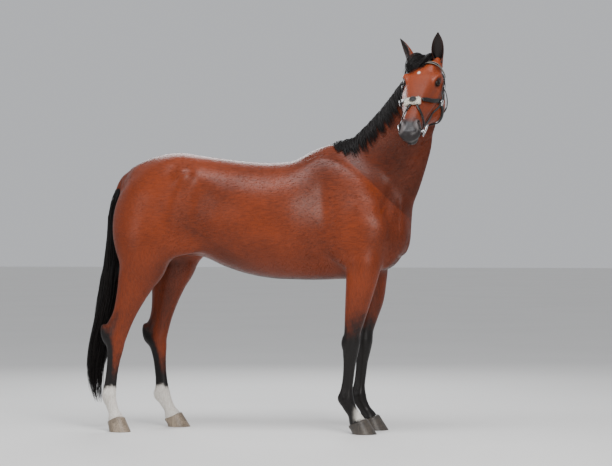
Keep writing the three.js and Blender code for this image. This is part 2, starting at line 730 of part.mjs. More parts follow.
/** The axes of a foot: across, forward and up, leaned back with the coronet when asked. */
function footAxes(toe, lean = 0) {
  const [turn, tilt] = [radians(toe), radians(lean)];
  const forward = [Math.cos(turn), Math.sin(turn), 0];
  const up = add([0, 0, Math.cos(tilt)], forward, -Math.sin(tilt));
  const across = unit(cross(up, forward));
  return [cross(across, up), across, up];
}

/** The block above the coronet, where the flesh of a foot starts. */
function aboveCoronet({ place: centre, toe }, gap) {
  return block([-400, -400, gap], [400, 400, 3000], centre, footAxes(toe, HOOF.tilt));
}

function hoof({ place: centre, toe, scale }) {
  const [forward, across] = footAxes(toe);
  const ring = (middle, reach, height) => {
    const points = [];
    for (let n = 0; n < 16; n++) {
      const angle = (n / 16) * 2 * Math.PI;
      const ahead = middle + Math.cos(angle) * (Math.cos(angle) > 0 ? reach.front : reach.back) * scale;
      const p = add(add([centre[0], centre[1], 0], forward, ahead), across,
        Math.sin(angle) * reach.side * scale);
      p[2] = height(ahead);
      points.push(p);
    }
    return points;
  };
  const slope = Math.tan(radians(HOOF.tilt));
  const sole = ring(HOOF.sole.centre * scale, HOOF.sole, () => 0);
  const top = ring(0, HOOF.top, (ahead) => centre[2] - GAP + ahead * slope);
  return loft([sole, top]);
}

/** A closed solid through rings of the same count, capped at both ends. */
function loft(rings, closed = false) {
  const count = rings[0].length;
  const corners = [];
  const spans = closed ? rings.length : rings.length - 1;
  for (let i = 0; i < spans; i++) {
    const [a, b] = [i * count, ((i + 1) % rings.length) * count];
    for (let j = 0; j < count; j++) {
      const next = (j + 1) % count;
      corners.push(a + j, a + next, b + next, a + j, b + next, b + j);
    }
  }
  if (!closed) {
    const lastRing = (rings.length - 1) * count;
    const flat = rings[0].map((_, j) => j);
    for (const [a, b, c] of fan(rings[0], flat)) corners.push(a, c, b);
    for (const [a, b, c] of fan(rings[rings.length - 1], flat)) {
      corners.push(lastRing + a, lastRing + b, lastRing + c);
    }
  }
  const solid = solidOf(rings.flat(2), corners);
  return solid.volume() < 0 ? solidOf(rings.flat(2), flipped(corners)) : solid;
}

function flipped(corners) {
  const turned = [];
  for (let i = 0; i < corners.length; i += 3) turned.push(corners[i], corners[i + 2], corners[i + 1]);
  return turned;
}

/** Triangles over a ring, in strips from one end to the other. */
function fan(ring, order) {
  const triangles = [];
  let [low, high] = [0, order.length - 1];
  while (high - low > 1) {
    triangles.push([order[low], order[low + 1], order[high]]);
    low += 1;
    if (high - low > 1) {
      triangles.push([order[low], order[high - 1], order[high]]);
      high -= 1;
    }
  }
  return triangles;
}

/** Parts a leg into its upper and lower length and its hoof. */
function leg(name, { foot, region, cut, sock = null, colors }) {
  const [low, high] = region;
  const topOf = (solid, z) => solid.intersect(block([-2000, -900, z], [2000, 900, 3000]));
  const belowOf = (solid, z) => solid.intersect(block([-2000, -900, -100], [2000, 900, z - GAP]));
  const limits = block(low, high);
  const margin = 1.5 * CELL.upper[0];
  const upper = meshSkin([[low[0] - margin, low[1] - margin, cut - 2 * CELL.upper[2]],
    [high[0] + margin, high[1] + margin, high[2] + margin]], CELL.upper).solid;
  place(`${name}_upper`, topOf(upper.intersect(limits), cut), colors.upper);
  const [x, y] = [FEET[foot].place[0], FEET[foot].place[1]];
  const lower = meshSkin([[x - 260, y - 130, -20], [x + 170, y + 160, cut + 2 * CELL.lower[2]]],
    CELL.lower).solid;
  const free = belowOf(lower, cut).intersect(aboveCoronet(FEET[foot], 0));
  if (sock === null) {
    place(`${name}_lower`, free, colors.lower);
  } else {
    place(`${name}_lower`, topOf(free, sock), colors.lower);
    place(`${name}_pastern`, belowOf(free, sock), WHITE);
  }
  place(`${name}_hoof`, hoof(FEET[foot]), colors.hoof, { roughness: 0.4 });
}

for (const [side, s] of Object.entries(SIDES)) {
  const across = (inner, outer) => (s > 0 ? [inner, outer] : [-outer, -inner]);
  const fore = across(90 + GAP, 380);
  leg(`foreleg_${side}`, {
    foot: `fore_${side}`,
    region: [[500 + GAP, fore[0], -50], [790 - GAP, fore[1], FORE_CUT - GAP]],
    cut: KNEE_CUT,
    colors: { upper: COAT, lower: BLACK, hoof: 0x2c2622 },
  });
  const hind = across(GAP, 420);
  leg(`hindleg_${side}`, {
    foot: `hind_${side}`,
    region: [[-990, hind[0], -50], [-400 - GAP, hind[1], HIND_CUT - GAP]],
    cut: HOCK_CUT,
    sock: SOCK_CUT[side],
    colors: { upper: COAT, lower: BLACK, hoof: 0x8d7c66 },
  });
}

// ---- ears -------------------------------------------------------------------------------

/** The way the ear points and the way its opening faces. */
const EARS = {
  right: { base: [20, -68, -26], tip: [-0.455, 0.2, 0.87], opens: [-0.8, -0.55, 0] },
  left: { base: [20, 68, -26], tip: [-0.03, -0.14, 0.99], opens: [0.2, -0.97, 0] },
};
const EAR_SHAPE = [
  { t: -0.16, wide: 28, deep: 27, wrap: 176 },
  { t: 0.1, wide: 32, deep: 30, wrap: 150 },
  { t: 0.3, wide: 37, deep: 28, wrap: 118 },
  { t: 0.5, wide: 38, deep: 23, wrap: 100 },
  { t: 0.7, wide: 32, deep: 17, wrap: 92 },
  { t: 0.87, wide: 19, deep: 10, wrap: 86 },
  { t: 1, wide: 6, deep: 5, wrap: 80 },
];

/** A leaf-shaped shell, open to the front, rolled into a tube at its root. */
function ear(side, grown = 0) {
  const { base, tip, opens } = EARS[side];
  const up = unit(tip);
  const open = unit(add(opens, up, -dot(opens, up)));
  const across = cross(up, open);
  const root = head.at(...base);
  const rings = EAR_SHAPE.map(({ t, wide, deep, wrap }) => {
    const centre = add(root, up, t * EAR_LENGTH);
    const wall = Math.min(EAR_WALL, deep * 0.6) + grown;
    const arc = (w, d, turn) => {
      const angle = radians(turn * wrap);
      return add(add(centre, across, Math.sin(angle) * w), open, -Math.cos(angle) * d);
    };
    const steps = [-1, -0.55, 0, 0.55, 1];
    const outer = steps.map((turn) => arc(wide + grown, deep + grown, turn));
    const inner = steps.map((turn) => arc(wide - wall, deep - wall, turn)).reverse();
    return [...outer, ...inner];
  });
  return crescentLoft(rings);
}

/** A loft of crescents: each ring holds an outer arc and then the inner arc, reversed. */
function crescentLoft(rings) {
  const count = rings[0].length;
  const half = count / 2;
  const corners = [];
  for (let i = 0; i < rings.length - 1; i++) {
    for (let j = 0; j < count; j++) {
      const next = (j + 1) % count;
      const [a, b] = [i * count, (i + 1) * count];
      corners.push(a + j, a + next, b + next, a + j, b + next, b + j);
    }
  }
  const top = (rings.length - 1) * count;
  for (let j = 0; j < half - 1; j++) {
    const [p, q, r, s] = [j, j + 1, count - 2 - j, count - 1 - j];
    corners.push(p, r, q, p, s, r);
    corners.push(top + p, top + q, top + r, top + p, top + r, top + s);
  }
  const solid = solidOf(rings.flat(2), corners);
  return solid.volume() < 0 ? solidOf(rings.flat(2), flipped(corners)) : solid;
}

for (const side of Object.keys(SIDES)) {
  place(`ear_${side}`, offTheFlesh(ear(side)), COAT_DARK);
}

// ---- hair -------------------------------------------------------------------------------

/** The hanging tail: middle of each section and its reach along X and Y. */
const TAIL = [
  { place: [-800, 0, 1505], along: 26, across: 26 },
  { place: [-828, 0, 1462], along: 34, across: 36 },
  { place: [-852, 0, 1380], along: 40, across: 44 },
  { place: [-872, 0, 1260], along: 44, across: 50 },
  { place: [-876, 0, 1120], along: 47, across: 56 },
  { place: [-886, 0, 960], along: 50, across: 62 },
  { place: [-912, 0, 826], along: 56, across: 66 },
  { place: [-942, 0, 690], along: 60, across: 68 },
  { place: [-964, 0, 530], along: 60, across: 66 },
  { place: [-984, 0, 372], along: 52, across: 56 },
  { place: [-984, 0, 254], along: 40, across: 42 },
  { place: [-974, 0, 140], along: 20, across: 22 },
];

function ringAbout(centre, first, second, count) {
  const points = [];
  for (let n = 0; n < count; n++) {
    const angle = (n / count) * 2 * Math.PI;
    points.push(add(add(centre, first, Math.cos(angle)), second, Math.sin(angle)));
  }
  return points;
}

const tail = loft(TAIL.map((row, i) => {
  const lean = i < 3 ? unit([0.5, 0, 0.6 - 0.3 * (3 - i)]) : [1, 0, 0];
  return ringAbout(row.place, lean.map((v) => v * row.along), [0, row.across, 0], 12);
}));
place('tail', offTheFlesh(tail), BLACK, { roughness: 0.6 });

/** The mane lies on the right of the neck, from the crest down. */
const MANE = { first: 5, step: 3, thick: 24, sunk: 14, from: -18 };
/** How far down the neck the mane reaches, from the withers to the poll. */
const MANE_WIDTHS = [95, 130, 150, 165, 178, 180, 165, 132, 92];

function mane() {
  const { samples } = neckForms()[0];
  const rings = MANE_WIDTHS.map((wide, i) => {
    const row = samples[Math.min(MANE.first + MANE.step * i, samples.length - 1)];
    const along = unit(row.along);
    const facing = row.slice(3, 6);
    const crest = unit(add(facing, along, -dot(facing, along)));
    const right = cross(along, crest);
    const turns = [0, 0.2, 0.45, 0.7, 1];
    const reach = THREE.MathUtils.radToDeg(wide / (0.55 * row[6] + 0.45 * row[8]));
    const onNeck = (turn, level) => {
      const angle = radians(MANE.from + (reach - MANE.from) * turn);
      const start = add(add(row.slice(0, 3), crest, Math.cos(angle) * row[6]),
        right, Math.sin(angle) * row[8] * 1.15);
      return settle(skin, start, level);
    };
    const bulge = [0.45, 0.9, 1, 0.85, 0.35];
    const outer = turns.map((turn, i) => onNeck(turn, MANE.thick * bulge[i]));
    const inner = turns.map((turn) => onNeck(turn, -MANE.sunk)).reverse();
    return [...outer, ...inner];
  });
  return crescentLoft(rings);
}

// ---- straps laid on the head ------------------------------------------------------------

/**
 * A band laid on the skin along a path of head places. Each row of `path` is a place with
 * its lift off the skin, and may give its own width and thickness.
 */
function band(path, { width = STRAP.width, thick = STRAP.thick, lift = STRAP.lift,
  step = 30, closed = false, round = false } = {}) {
  const points = path.map((row) => new THREE.Vector3(...head.at(row[0], row[1], row[2])));
  const curve = new THREE.CatmullRomCurve3(points, closed, 'centripetal');
  const count = Math.max(3, Math.round(curve.getLength() / step));
  const value = (t, column, fallback) => {
    const spans = closed ? path.length : path.length - 1;
    const u = Math.min(t * spans, spans - 1e-6);
    const k = Math.floor(u);
    const a = path[k][column] ?? fallback;
    const b = path[(k + 1) % path.length][column] ?? fallback;
    return a + (b - a) * (u - k);
  };
  const rings = [];
  for (let n = 0; n < count + (closed ? 0 : 1); n++) {
    const t = n / count;
    const [up, w, h] = [value(t, 3, lift), value(t, 4, width), value(t, 5, thick)];
    const on = settle(skin, curve.getPoint(t).toArray(), up);
    const ahead = curve.getTangent(t).toArray();
    const out = unit(slopeOf(skin, on));
    const across = unit(cross(out, ahead));
    const corner = (side, high) => settle(skin, add(on, across, (side * w) / 2), up + high * h);
    rings.push(round
      ? [corner(-1, 0.2), corner(-1, 0.8), corner(-0.45, 1.25), corner(0.45, 1.25),
        corner(1, 0.8), corner(1, 0.2), corner(0, 0)]
      : [corner(-1, 0), corner(-1, 1), corner(1, 1), corner(1, 0)]);
  }
  return loft(rings, closed);
}

/** Both sides' copies of a path, with the left side's places as written. */
const mirrored = (path, s) => path.map(([along, left, ...rest]) => [along, left * s, ...rest]);

/** The same places from the left round to the right, for a strap that is even on both. */
const fromLeftToRight = (half) => [...half, ...mirrored(half.slice(0, -1).reverse(), -1)];

const FORELOCK = [
  [-34, 26, 4, 2, 44, 34],
  [-6, 16, 8, 2, 66, 46],
  [30, -16, 10, 0, 66, 40],
  [66, -48, 4, 0, 52, 30],
  [98, -70, -8, 0, 34, 22],
  [128, -82, -20, 0, 14, 10],
];
const BROWBAND = fromLeftToRight([
  [78, 103, -80, 7.5], [80, 104, -54, 7.5], [82, 95, -24, 3], [76, 60, 3], [62, 0, 2],
]);
const CROWN = fromLeftToRight([
  [90, 101, -94], [66, 97, -96], [34, 92, -94], [4, 84, -88], [-26, 64, -70], [-42, 34, -48],
  [-46, 0, -36],
]);
const CHEEKPIECE = [
  [96, 101, -95, 2.5], [139, 108, -94, 3], [180, 107, -102, 3.5], [210, 105, -109, 5],
  [228, 103, -114, 10.4], [278, 95, -126, 10.4], [304, 88, -136, 3.5], [360, 74, -146, 2.5],
  [428, 60, -138, 2.5], [470, 54, -124, 2.5],
];
const HEADSTRAP = [
  [92, 97, -124], [150, 104, -140], [200, 104, -146], [224, 101, -144],
];
const THROATLATCH = fromLeftToRight([
  [40, 94, -116, 6], [72, 99, -148, 8], [108, 98, -196, 10], [134, 92, -244, 11],
  [150, 56, -290, 12], [154, 0, -306, 12],
]);
const NOSEBAND_UPPER = fromLeftToRight([
  [350, 51, -29], [342, 59, -38], [322, 74, -60], [286, 92, -87], [250, 101, -116],
  [242, 94, -170], [256, 70, -228], [268, 40, -262], [272, 0, -272],
]);
const NOSEBAND_LOWER = fromLeftToRight([
  [420, 22, -24], [438, 32, -30], [460, 46, -46], [482, 55, -70], [498, 52, -106],
  [504, 46, -142], [504, 26, -164], [504, 0, -170],
]);
const NOSE_PAD = [[383, 24, -12], [386, 6, -4], [386, -14, -4], [383, -34, -14], [378, -54, -30]];

const lockSolid = offTheFlesh(band(FORELOCK, { round: true, step: 44 }));
const browFat = band(BROWBAND, { width: 19, thick: 5.6, lift: STRAP.lift - 0.8 });
const crownFat = band(CROWN, { width: STRAP.width + 1, thick: 5, lift: STRAP.lift - 0.5 });
const strapOf = (path, options) => offTheFlesh(band(path, options));
const leather = (name, solid) => place(name, solid, LEATHER, { roughness: 0.35 });

const clear = [browFat, crownFat, ear('left', GAP), ear('right', GAP)];
place('forelock', clear.reduce((rest, solid) => rest.subtract(solid), lockSolid), BLACK,
  { roughness: 0.6 });
place('mane', offTheFlesh(mane()).subtract(crownFat), BLACK, { roughness: 0.6 });
leather('browband', strapOf(BROWBAND, { width: 18, thick: 4 }));
leather('crownpiece', strapOf(CROWN));
leather('throatlatch', strapOf(THROATLATCH, { width: 14, thick: 3.5 }));
leather('noseband_upper', strapOf(NOSEBAND_UPPER, { width: 24, thick: 6, step: 36 }));
leather('noseband_lower', strapOf(NOSEBAND_LOWER, { width: 15, thick: 4 }));
const padFat = band(NOSE_PAD, { width: 48, thick: 12, lift: 1.2, round: true, step: 20 });
place('nose_pad', offTheFlesh(padFat), 0xe6e0d0, { roughness: 0.95 });

/** Axes on the skin at a head place: out of the skin, and the two ways along it. */
function onSkin(place3, lift) {
  const centre = settle(skin, head.at(...place3), lift);
  const out = unit(slopeOf(skin, centre));
  const across = unit(cross(out, head.along));
  return { centre, out, across, ahead: cross(out, across) };
}

/** A ring or disc geometry laid on the skin, its axis out of the skin. */
function laid(geometry, place3, lift) {
  const { centre, out, across, ahead } = onSkin(place3, lift);
  const basis = new THREE.Matrix4().makeBasis(
    new THREE.Vector3(...across), new THREE.Vector3(...ahead), new THREE.Vector3(...out));
  basis.setPosition(...centre);
  return solidFrom(geometry, basis);
}

const upright = (geometry) => geometry.rotateX(Math.PI / 2);
leather('nose_disc', laid(upright(new THREE.CylinderGeometry(20, 22, 6, 18)), [386, -6, -2], 22));

for (const [side, s] of Object.entries(SIDES)) {
  const cheek = mirrored(CHEEKPIECE, s);
  leather(`cheekpiece_${side}`, strapOf(cheek, { width: 18, thick: 4 }));
  leather(`noseband_headstrap_${side}`, strapOf(mirrored(HEADSTRAP, s), { width: 14, thick: 3.5 }));
  const buckle = laid(new THREE.BoxGeometry(24, 22, 4), [150, s * 108, -96], 9.4);
  place(`cheek_buckle_${side}`, buckle, STEEL, { roughness: 0.25, metalness: 1 });
  const ring = laid(new THREE.TorusGeometry(15, 3, 4, 12), [255, s * 99, -120], 18);
  place(`noseband_ring_${side}`, ring, STEEL, { roughness: 0.25, metalness: 1 });
  const bit = laid(new THREE.TorusGeometry(34, 4, 4, 16), [504, s * 60, -118], 17);
  place(`bit_ring_${side}`, bit, STEEL, { roughness: 0.2, metalness: 1 });
}

export default horse;
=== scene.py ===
"""A bridled bay horse as a life-size museum model, standing still with its head turned.

One skin covers the flesh. Short tufts lie over it where the coat breaks the form, and the
mane, forelock and tail are made of locks. The bridle has no reins.
"""

from __future__ import annotations

import logging
import math
from dataclasses import dataclass, field
from enum import Enum
from typing import Any, Callable, Iterable, Sequence

import bmesh
import bpy
import numpy as np
from mathutils import Matrix

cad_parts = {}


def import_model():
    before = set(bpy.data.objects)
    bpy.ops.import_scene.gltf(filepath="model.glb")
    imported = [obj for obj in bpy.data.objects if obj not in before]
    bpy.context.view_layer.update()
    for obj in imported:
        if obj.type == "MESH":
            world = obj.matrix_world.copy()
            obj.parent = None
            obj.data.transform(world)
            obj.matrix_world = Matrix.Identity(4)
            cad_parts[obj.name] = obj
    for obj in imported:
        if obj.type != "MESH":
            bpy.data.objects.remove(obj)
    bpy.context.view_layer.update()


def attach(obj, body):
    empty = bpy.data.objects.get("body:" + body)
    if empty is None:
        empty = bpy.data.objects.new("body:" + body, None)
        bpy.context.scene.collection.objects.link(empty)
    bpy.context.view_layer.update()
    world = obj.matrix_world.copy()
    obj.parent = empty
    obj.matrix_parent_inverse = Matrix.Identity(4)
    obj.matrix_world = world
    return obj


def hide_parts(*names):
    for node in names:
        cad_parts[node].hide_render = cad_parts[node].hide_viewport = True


LOG = logging.getLogger("horse")
Array = np.ndarray
Place = tuple[float, float, float]

STAND = np.array((-0.048, 0.216, 0.0))
"""Moves the model so that its box is centred on the origin."""
COAT_DEPTH = 0.003
"""How far the skin lies inside the flesh's outline."""


class Side(Enum):
    """A side of the horse, with the sign of its Y."""

    RIGHT = -1
    LEFT = 1

    @property
    def label(self) -> str:
        """The side's name in the names of nodes."""
        return self.name.lower()


class Legs(Enum):
    """The front or back pair of legs, as the names of nodes say it."""

    FORE = "fore"
    HIND = "hind"


# ---- numbers and vectors -----------------------------------------------------------------


def unit(vector: Any) -> Array:
    """Scales one vector, or each row of an array, to length one."""
    rows = np.asarray(vector, float)
    return rows / np.maximum(np.linalg.norm(rows, axis=-1, keepdims=True), 1e-9)


def soft_min(first: Array, second: Array, blend: float) -> Array:
    """Joins two distances with a fillet of the width `blend`."""
    near = np.maximum(blend - np.abs(first - second), 0.0) / blend
    return np.minimum(first, second) - near * near * blend * 0.25


def ease(value: Array, start: float, end: float) -> Array:
    """Rises smoothly from 0 at `start` to 1 at `end`, which may be the lower one."""
    step = np.clip((value - start) / (end - start), 0.0, 1.0)
    return step * step * (3 - 2 * step)


def around(count: int) -> Array:
    """Evenly spaced angles round a full turn."""
    return np.arange(count) / count * 2 * math.pi


def ripple(points: Array, scale: float, seed: int = 0) -> Array:
    """A cheap smooth noise made of a few turned waves.

    Args:
        points: Places in metres.
        scale: Waves for each metre.
        seed: Chooses the waves.

    Returns:
        A value from about -1 to 1 for each point.
    """
    rng = np.random.default_rng(seed)
    total = np.zeros(len(points))
    for octave in range(6):
        way = unit(rng.normal(size=3)) * scale * (1 + 0.45 * octave) * 2 * math.pi
        total += np.sin(points @ way + rng.uniform(0, 6.3)) / (1 + 0.35 * octave)
    return total / 2.6


# ---- forms -------------------------------------------------------------------------------


@dataclass(frozen=True)
class Station:
    """A section of a sweep: its centre and its reach to the front, back and side."""

    place: Place
    front: float
    back: float
    side: float
    power: float = 2.0
    facing: Place | None = None


class Form:
    """A shape given by a signed distance, negative inside."""

    blend: float
    cut: bool

    def reach(self) -> tuple[Array, Array]:
        """The lowest and highest corner of the form."""
        raise NotImplementedError

    def distance(self, points: Array) -> Array:
        """The signed distance of each point."""
        raise NotImplementedError


class Sweep(Form):
    """A tube of flesh through stations."""

    PER_SPAN = 8
    BATCH = 150000

    def __init__(self, stations: Sequence[Station], facing: Any = (0, 0, 1),
                 cap: tuple[float, float] = (0.05, 0.05), blend: float = 0.04,
                 level: bool = False) -> None:
        """Samples the tube.

        Args:
            stations: The sections in order.
            facing: The front of a section that gives none of its own.
            cap: How far the rounded ends reach beyond the first and last station.
            blend: Width of the fillet where the tube joins other forms.
            level: Keeps the sections upright across X.
        """
        self.blend, self.cut, self.cap, self.level = blend, False, cap, level
        rows = np.array([(*s.place, *(facing if s.facing is None else s.facing),
                          s.front, s.back, s.side, s.power) for s in stations], float)
        gap = np.linalg.norm(np.diff(rows[:, :3], axis=0), axis=1)
        slope = np.diff(rows, axis=0) / gap[:, None]
        tangent = np.vstack([slope[:1], (slope[1:] * gap[:-1, None] + slope[:-1] * gap[1:, None])
                             / (gap[1:] + gap[:-1])[:, None], slope[-1:]])
        samples = []
        for i in range(len(rows) - 1):
            t = np.linspace(0, 1, self.PER_SPAN + 1)[:, None]
            t = t if i == len(rows) - 2 else t[:-1]
            samples.append((2 * t**3 - 3 * t**2 + 1) * rows[i] + (3 * t**2 - 2 * t**3) * rows[i + 1]
                           + ((t**3 - 2 * t**2 + t) * tangent[i]
                              + (t**3 - t**2) * tangent[i + 1]) * gap[i])
        rows = np.vstack(samples)
        self.centre = rows[:, :3]
        along = np.gradient(self.centre, axis=0)
        if level:
            along = np.tile((1.0, 0.0, 0.0), (len(rows), 1))
        front = unit(rows[:, 3:6] - np.sum(rows[:, 3:6] * unit(along), axis=1, keepdims=True)
                     * unit(along))
        self.radii = rows[:, 6:]
        self.table = np.hstack([self.centre, along, front, self.radii])

    def reach(self) -> tuple[Array, Array]:
        """The lowest and highest corner of the tube.

        Returns:
            The two corners.
        """
        radius = self.radii[:, :3].max(axis=1)
        radius[0] = max(radius[0], self.cap[0])
        radius[-1] = max(radius[-1], self.cap[1])
        return (self.centre - radius[:, None]).min(0), (self.centre + radius[:, None]).max(0)

    def nearest(self, points: Array) -> Array:
        """The tube's parameter nearest to each point, in samples from its start.

        Args:
            points: Places in metres.

        Returns:
            The parameters.
        """
        last = len(self.centre) - 1
        if self.level:
            return np.interp(points[:, 0], self.centre[:, 0], np.arange(last + 1.0))
        centre = self.centre.astype(np.float32)
        reach = (centre * centre).sum(1)[None] - 2 * points.astype(np.float32) @ centre.T
        at = np.argmin(reach, axis=1).astype(float)
        for _ in range(3):
            row = self.row(at)
            at = np.clip(at + ((points - row[:, :3]) * row[:, 3:6]).sum(1)
                         / (row[:, 3:6] ** 2).sum(1), 0, last)
        return at

    def row(self, at: Array) -> Array:
        """The sampled row at each parameter.

        Args:
            at: Parameters, in samples from the start.

        Returns:
            The rows.
        """
        k = np.minimum(at.astype(int), len(self.centre) - 2)
        w = (at - k)[:, None]
        return self.table[k] * (1 - w) + self.table[k + 1] * w

    def local(self, points: Array) -> tuple[Array, Array, Array, Array, Array]:
        """Places the points in the tube's own measure.

        Args:
            points: Places in metres.

        Returns:
            The parameter, the row there, and the offset to the front, side and along.
        """
        at = self.nearest(points)
        row = self.row(at)
        offset = points - row[:, :3]
        along = unit(row[:, 3:6])
        front = unit(row[:, 6:9] - (row[:, 6:9] * along).sum(1, keepdims=True) * along)
        ahead = (offset * along).sum(1)
        last = len(self.centre) - 1
        ends = ((at <= 0) & (ahead < 0)) | ((at >= last) & (ahead > 0))
        return (at, row, (offset * front).sum(1), (offset * np.cross(along, front)).sum(1),
                np.where(ends, ahead, 0.0))

    def distance(self, points: Array) -> Array:
        """The signed distance of each point to the tube.

        Args:
            points: Places in metres.

        Returns:
            The distances, negative inside.
        """
        out = np.empty(len(points))
        for i in range(0, len(points), self.BATCH):
            _, row, front, side, end = self.local(points[i:i + self.BATCH])
            reach = np.where(front > 0, row[:, 9], row[:, 10])
            cap = np.where(end > 0, self.cap[1], self.cap[0])
            power = row[:, 12]
            scaled = (np.abs(front / reach) ** power + np.abs(side / row[:, 11]) ** power
                      + np.abs(end / cap) ** power) ** (1 / power)
            length = np.sqrt(front**2 + side**2 + end**2)
            out[i:i + self.BATCH] = length * (1 - 1 / np.maximum(scaled, 1e-4))
        return out

    def unwrap(self, points: Array) -> Array:
        """The share of the way along the tube and round it, each from 0 to 1.

        Args:
            points: Places in metres.

        Returns:
            The two shares of each point.
        """
        at, _, front, side, _ = self.local(points)
        return np.stack([at / (len(self.centre) - 1),
                         0.5 + np.arctan2(side, front) / (2 * math.pi)], axis=1)


class Spindle(Form):
    """A spindle of muscle or bone from one point to another."""

    def __init__(self, start: Any, end: Any, width: float, depth: float,
                 facing: Any = (0, 1, 0), blend: float = 0.03, cut: bool = False) -> None:
        """Places the spindle.

        Args:
            start: One tip.
            end: The other tip.
            width: Half its width.
            depth: Half its depth, measured along `facing`.
            facing: The way its depth runs.
            blend: Width of the fillet where it joins other forms.
            cut: Takes the shape away instead of adding it.
        """
        self.blend, self.cut = blend, cut
        start, end = np.asarray(start, float), np.asarray(end, float)
        self.middle = (start + end) / 2
        x = unit(end - start)
        z = unit(np.asarray(facing, float) - np.dot(facing, x) * x)
        self.axes = np.array([x, np.cross(z, x), z])
        self.radii = np.array([np.linalg.norm(end - start) / 2, width, depth])

    def reach(self) -> tuple[Array, Array]:
        """The lowest and highest corner of the spindle."""
        reach = np.sqrt(((self.axes * self.radii[:, None]) ** 2).sum(0))
        return self.middle - reach, self.middle + reach

    def distance(self, points: Array) -> Array:
        """The signed distance of each point to the spindle.

        Args:
            points: Places in metres.

        Returns:
            The distances, negative inside.
        """
        local = (points - self.middle) @ self.axes.T
        near = np.linalg.norm(local / self.radii, axis=1)
        slope = np.linalg.norm(local / self.radii**2, axis=1)
        return near * (near - 1) / np.maximum(slope, 1e-6)


class Flesh:
    """Forms blended into one body."""

    FAR = 1.0

    def __init__(self, forms: Sequence[Form], inset: float = 0.0) -> None:
        """Keeps the forms.

        Args:
            forms: The forms, joined or cut in this order.
            inset: How far the surface lies inside them.
        """
        self.forms = list(forms)
        self.inset = inset
        self.boxes = [form.reach() for form in self.forms]

    def distance(self, points: Array, near: float = 0.06) -> Array:
        """The distance of each point to the blended surface.

        Args:
            points: Places in metres.
            near: A form farther away than this and its blend is passed over.

        Returns:
            Signed distances, negative inside.
        """
        out = np.full(len(points), self.FAR)
        for form, (low, high) in zip(self.forms, self.boxes):
            margin = near + form.blend
            inside = np.nonzero(np.all((points > low - margin) & (points < high + margin),
                                       axis=1))[0]
            if not len(inside):
                continue
            reach = form.distance(points[inside])
            if form.cut:
                out[inside] = -soft_min(-out[inside], reach, form.blend)
            else:
                out[inside] = soft_min(out[inside], reach, form.blend)
        return out + self.inset

    def slope(self, points: Array, step: float = 0.0012) -> tuple[Array, Array]:
        """The distance and its gradient at each point.

        Args:
            points: Places in metres.
            step: How far apart the distances are taken.

        Returns:
            The distances and the gradients.
        """
        ways = np.array([[1, -1, -1], [-1, -1, 1], [-1, 1, -1], [1, 1, 1]], float)
        near = [self.distance(points + step * way) for way in ways]
        gradient = sum(way[None] * reach[:, None] for way, reach in zip(ways, near))
        return sum(near) / 4, gradient / (4 * step)

    def settle(self, points: Array, level: Any = 0.0, rounds: int = 2) -> Array:
        """Moves points to a height over the surface.

        Args:
            points: Places in metres.
            level: The height, one for all or one for each.
            rounds: How often each point is corrected.

        Returns:
            The moved points.
        """
        points = np.array(points, float)
        for _ in range(rounds):
            reach, gradient = self.slope(points)
            step = np.clip(reach - level, -0.02, 0.02)
            points -= (step / np.maximum((gradient**2).sum(1), 0.2))[:, None] * gradient
        return points

    def field(self, axes: Sequence[Array], ratio: int = 3) -> Array:
        """The distance over a grid, worked out finely only near the surface.

        Args:
            axes: The grid's places along X, Y and Z, each of a count that is one more than
                a multiple of `ratio`.
            ratio: How many grid steps one coarse step spans.

        Returns:
            The distances over the grid.
        """
        coarse_axes = [axis[::ratio] for axis in axes]
        spots = np.stack([g.ravel() for g in np.meshgrid(*coarse_axes, indexing="ij")], axis=1)
        shape = [len(axis) for axis in coarse_axes]
        coarse = self.distance(spots, near=0.09).reshape(shape).astype(np.float32)
        wide = [np.gradient(axis) for axis in coarse_axes]
        span = np.sqrt(wide[0][:, None, None] ** 2 + wide[1][None, :, None] ** 2
                       + wide[2][None, None, :] ** 2)
        near = np.abs(coarse) < span
        pick = np.ix_(*[np.minimum((np.arange(len(axis)) + ratio // 2) // ratio, n - 1)
                        for axis, n in zip(axes, shape)])
        mask = near[pick]
        out = coarse[pick].copy()
        index = np.argwhere(mask)
        out[mask] = self.distance(np.stack([axes[i][index[:, i]] for i in range(3)], axis=1),
                                  near=0.03)
        return out


def graded(low: float, high: float, step: float, fine: tuple[float, float],
           fine_step: float, ratio: int = 3) -> Array:
    """Places along an axis, closer together over one stretch.

    Args:
        low: Where the axis starts.
        high: Where it ends at the least.
        step: The usual spacing.
        fine: The start and end of the close stretch.
        fine_step: The spacing there.
        ratio: The count is one more than a multiple of this.

    Returns:
        The places.
    """
    places = [low]
    while places[-1] < high or (len(places) - 1) % ratio:
        close = fine[0] - step <= places[-1] < fine[1]
        places.append(places[-1] + (fine_step if close else step))
    return np.array(places)


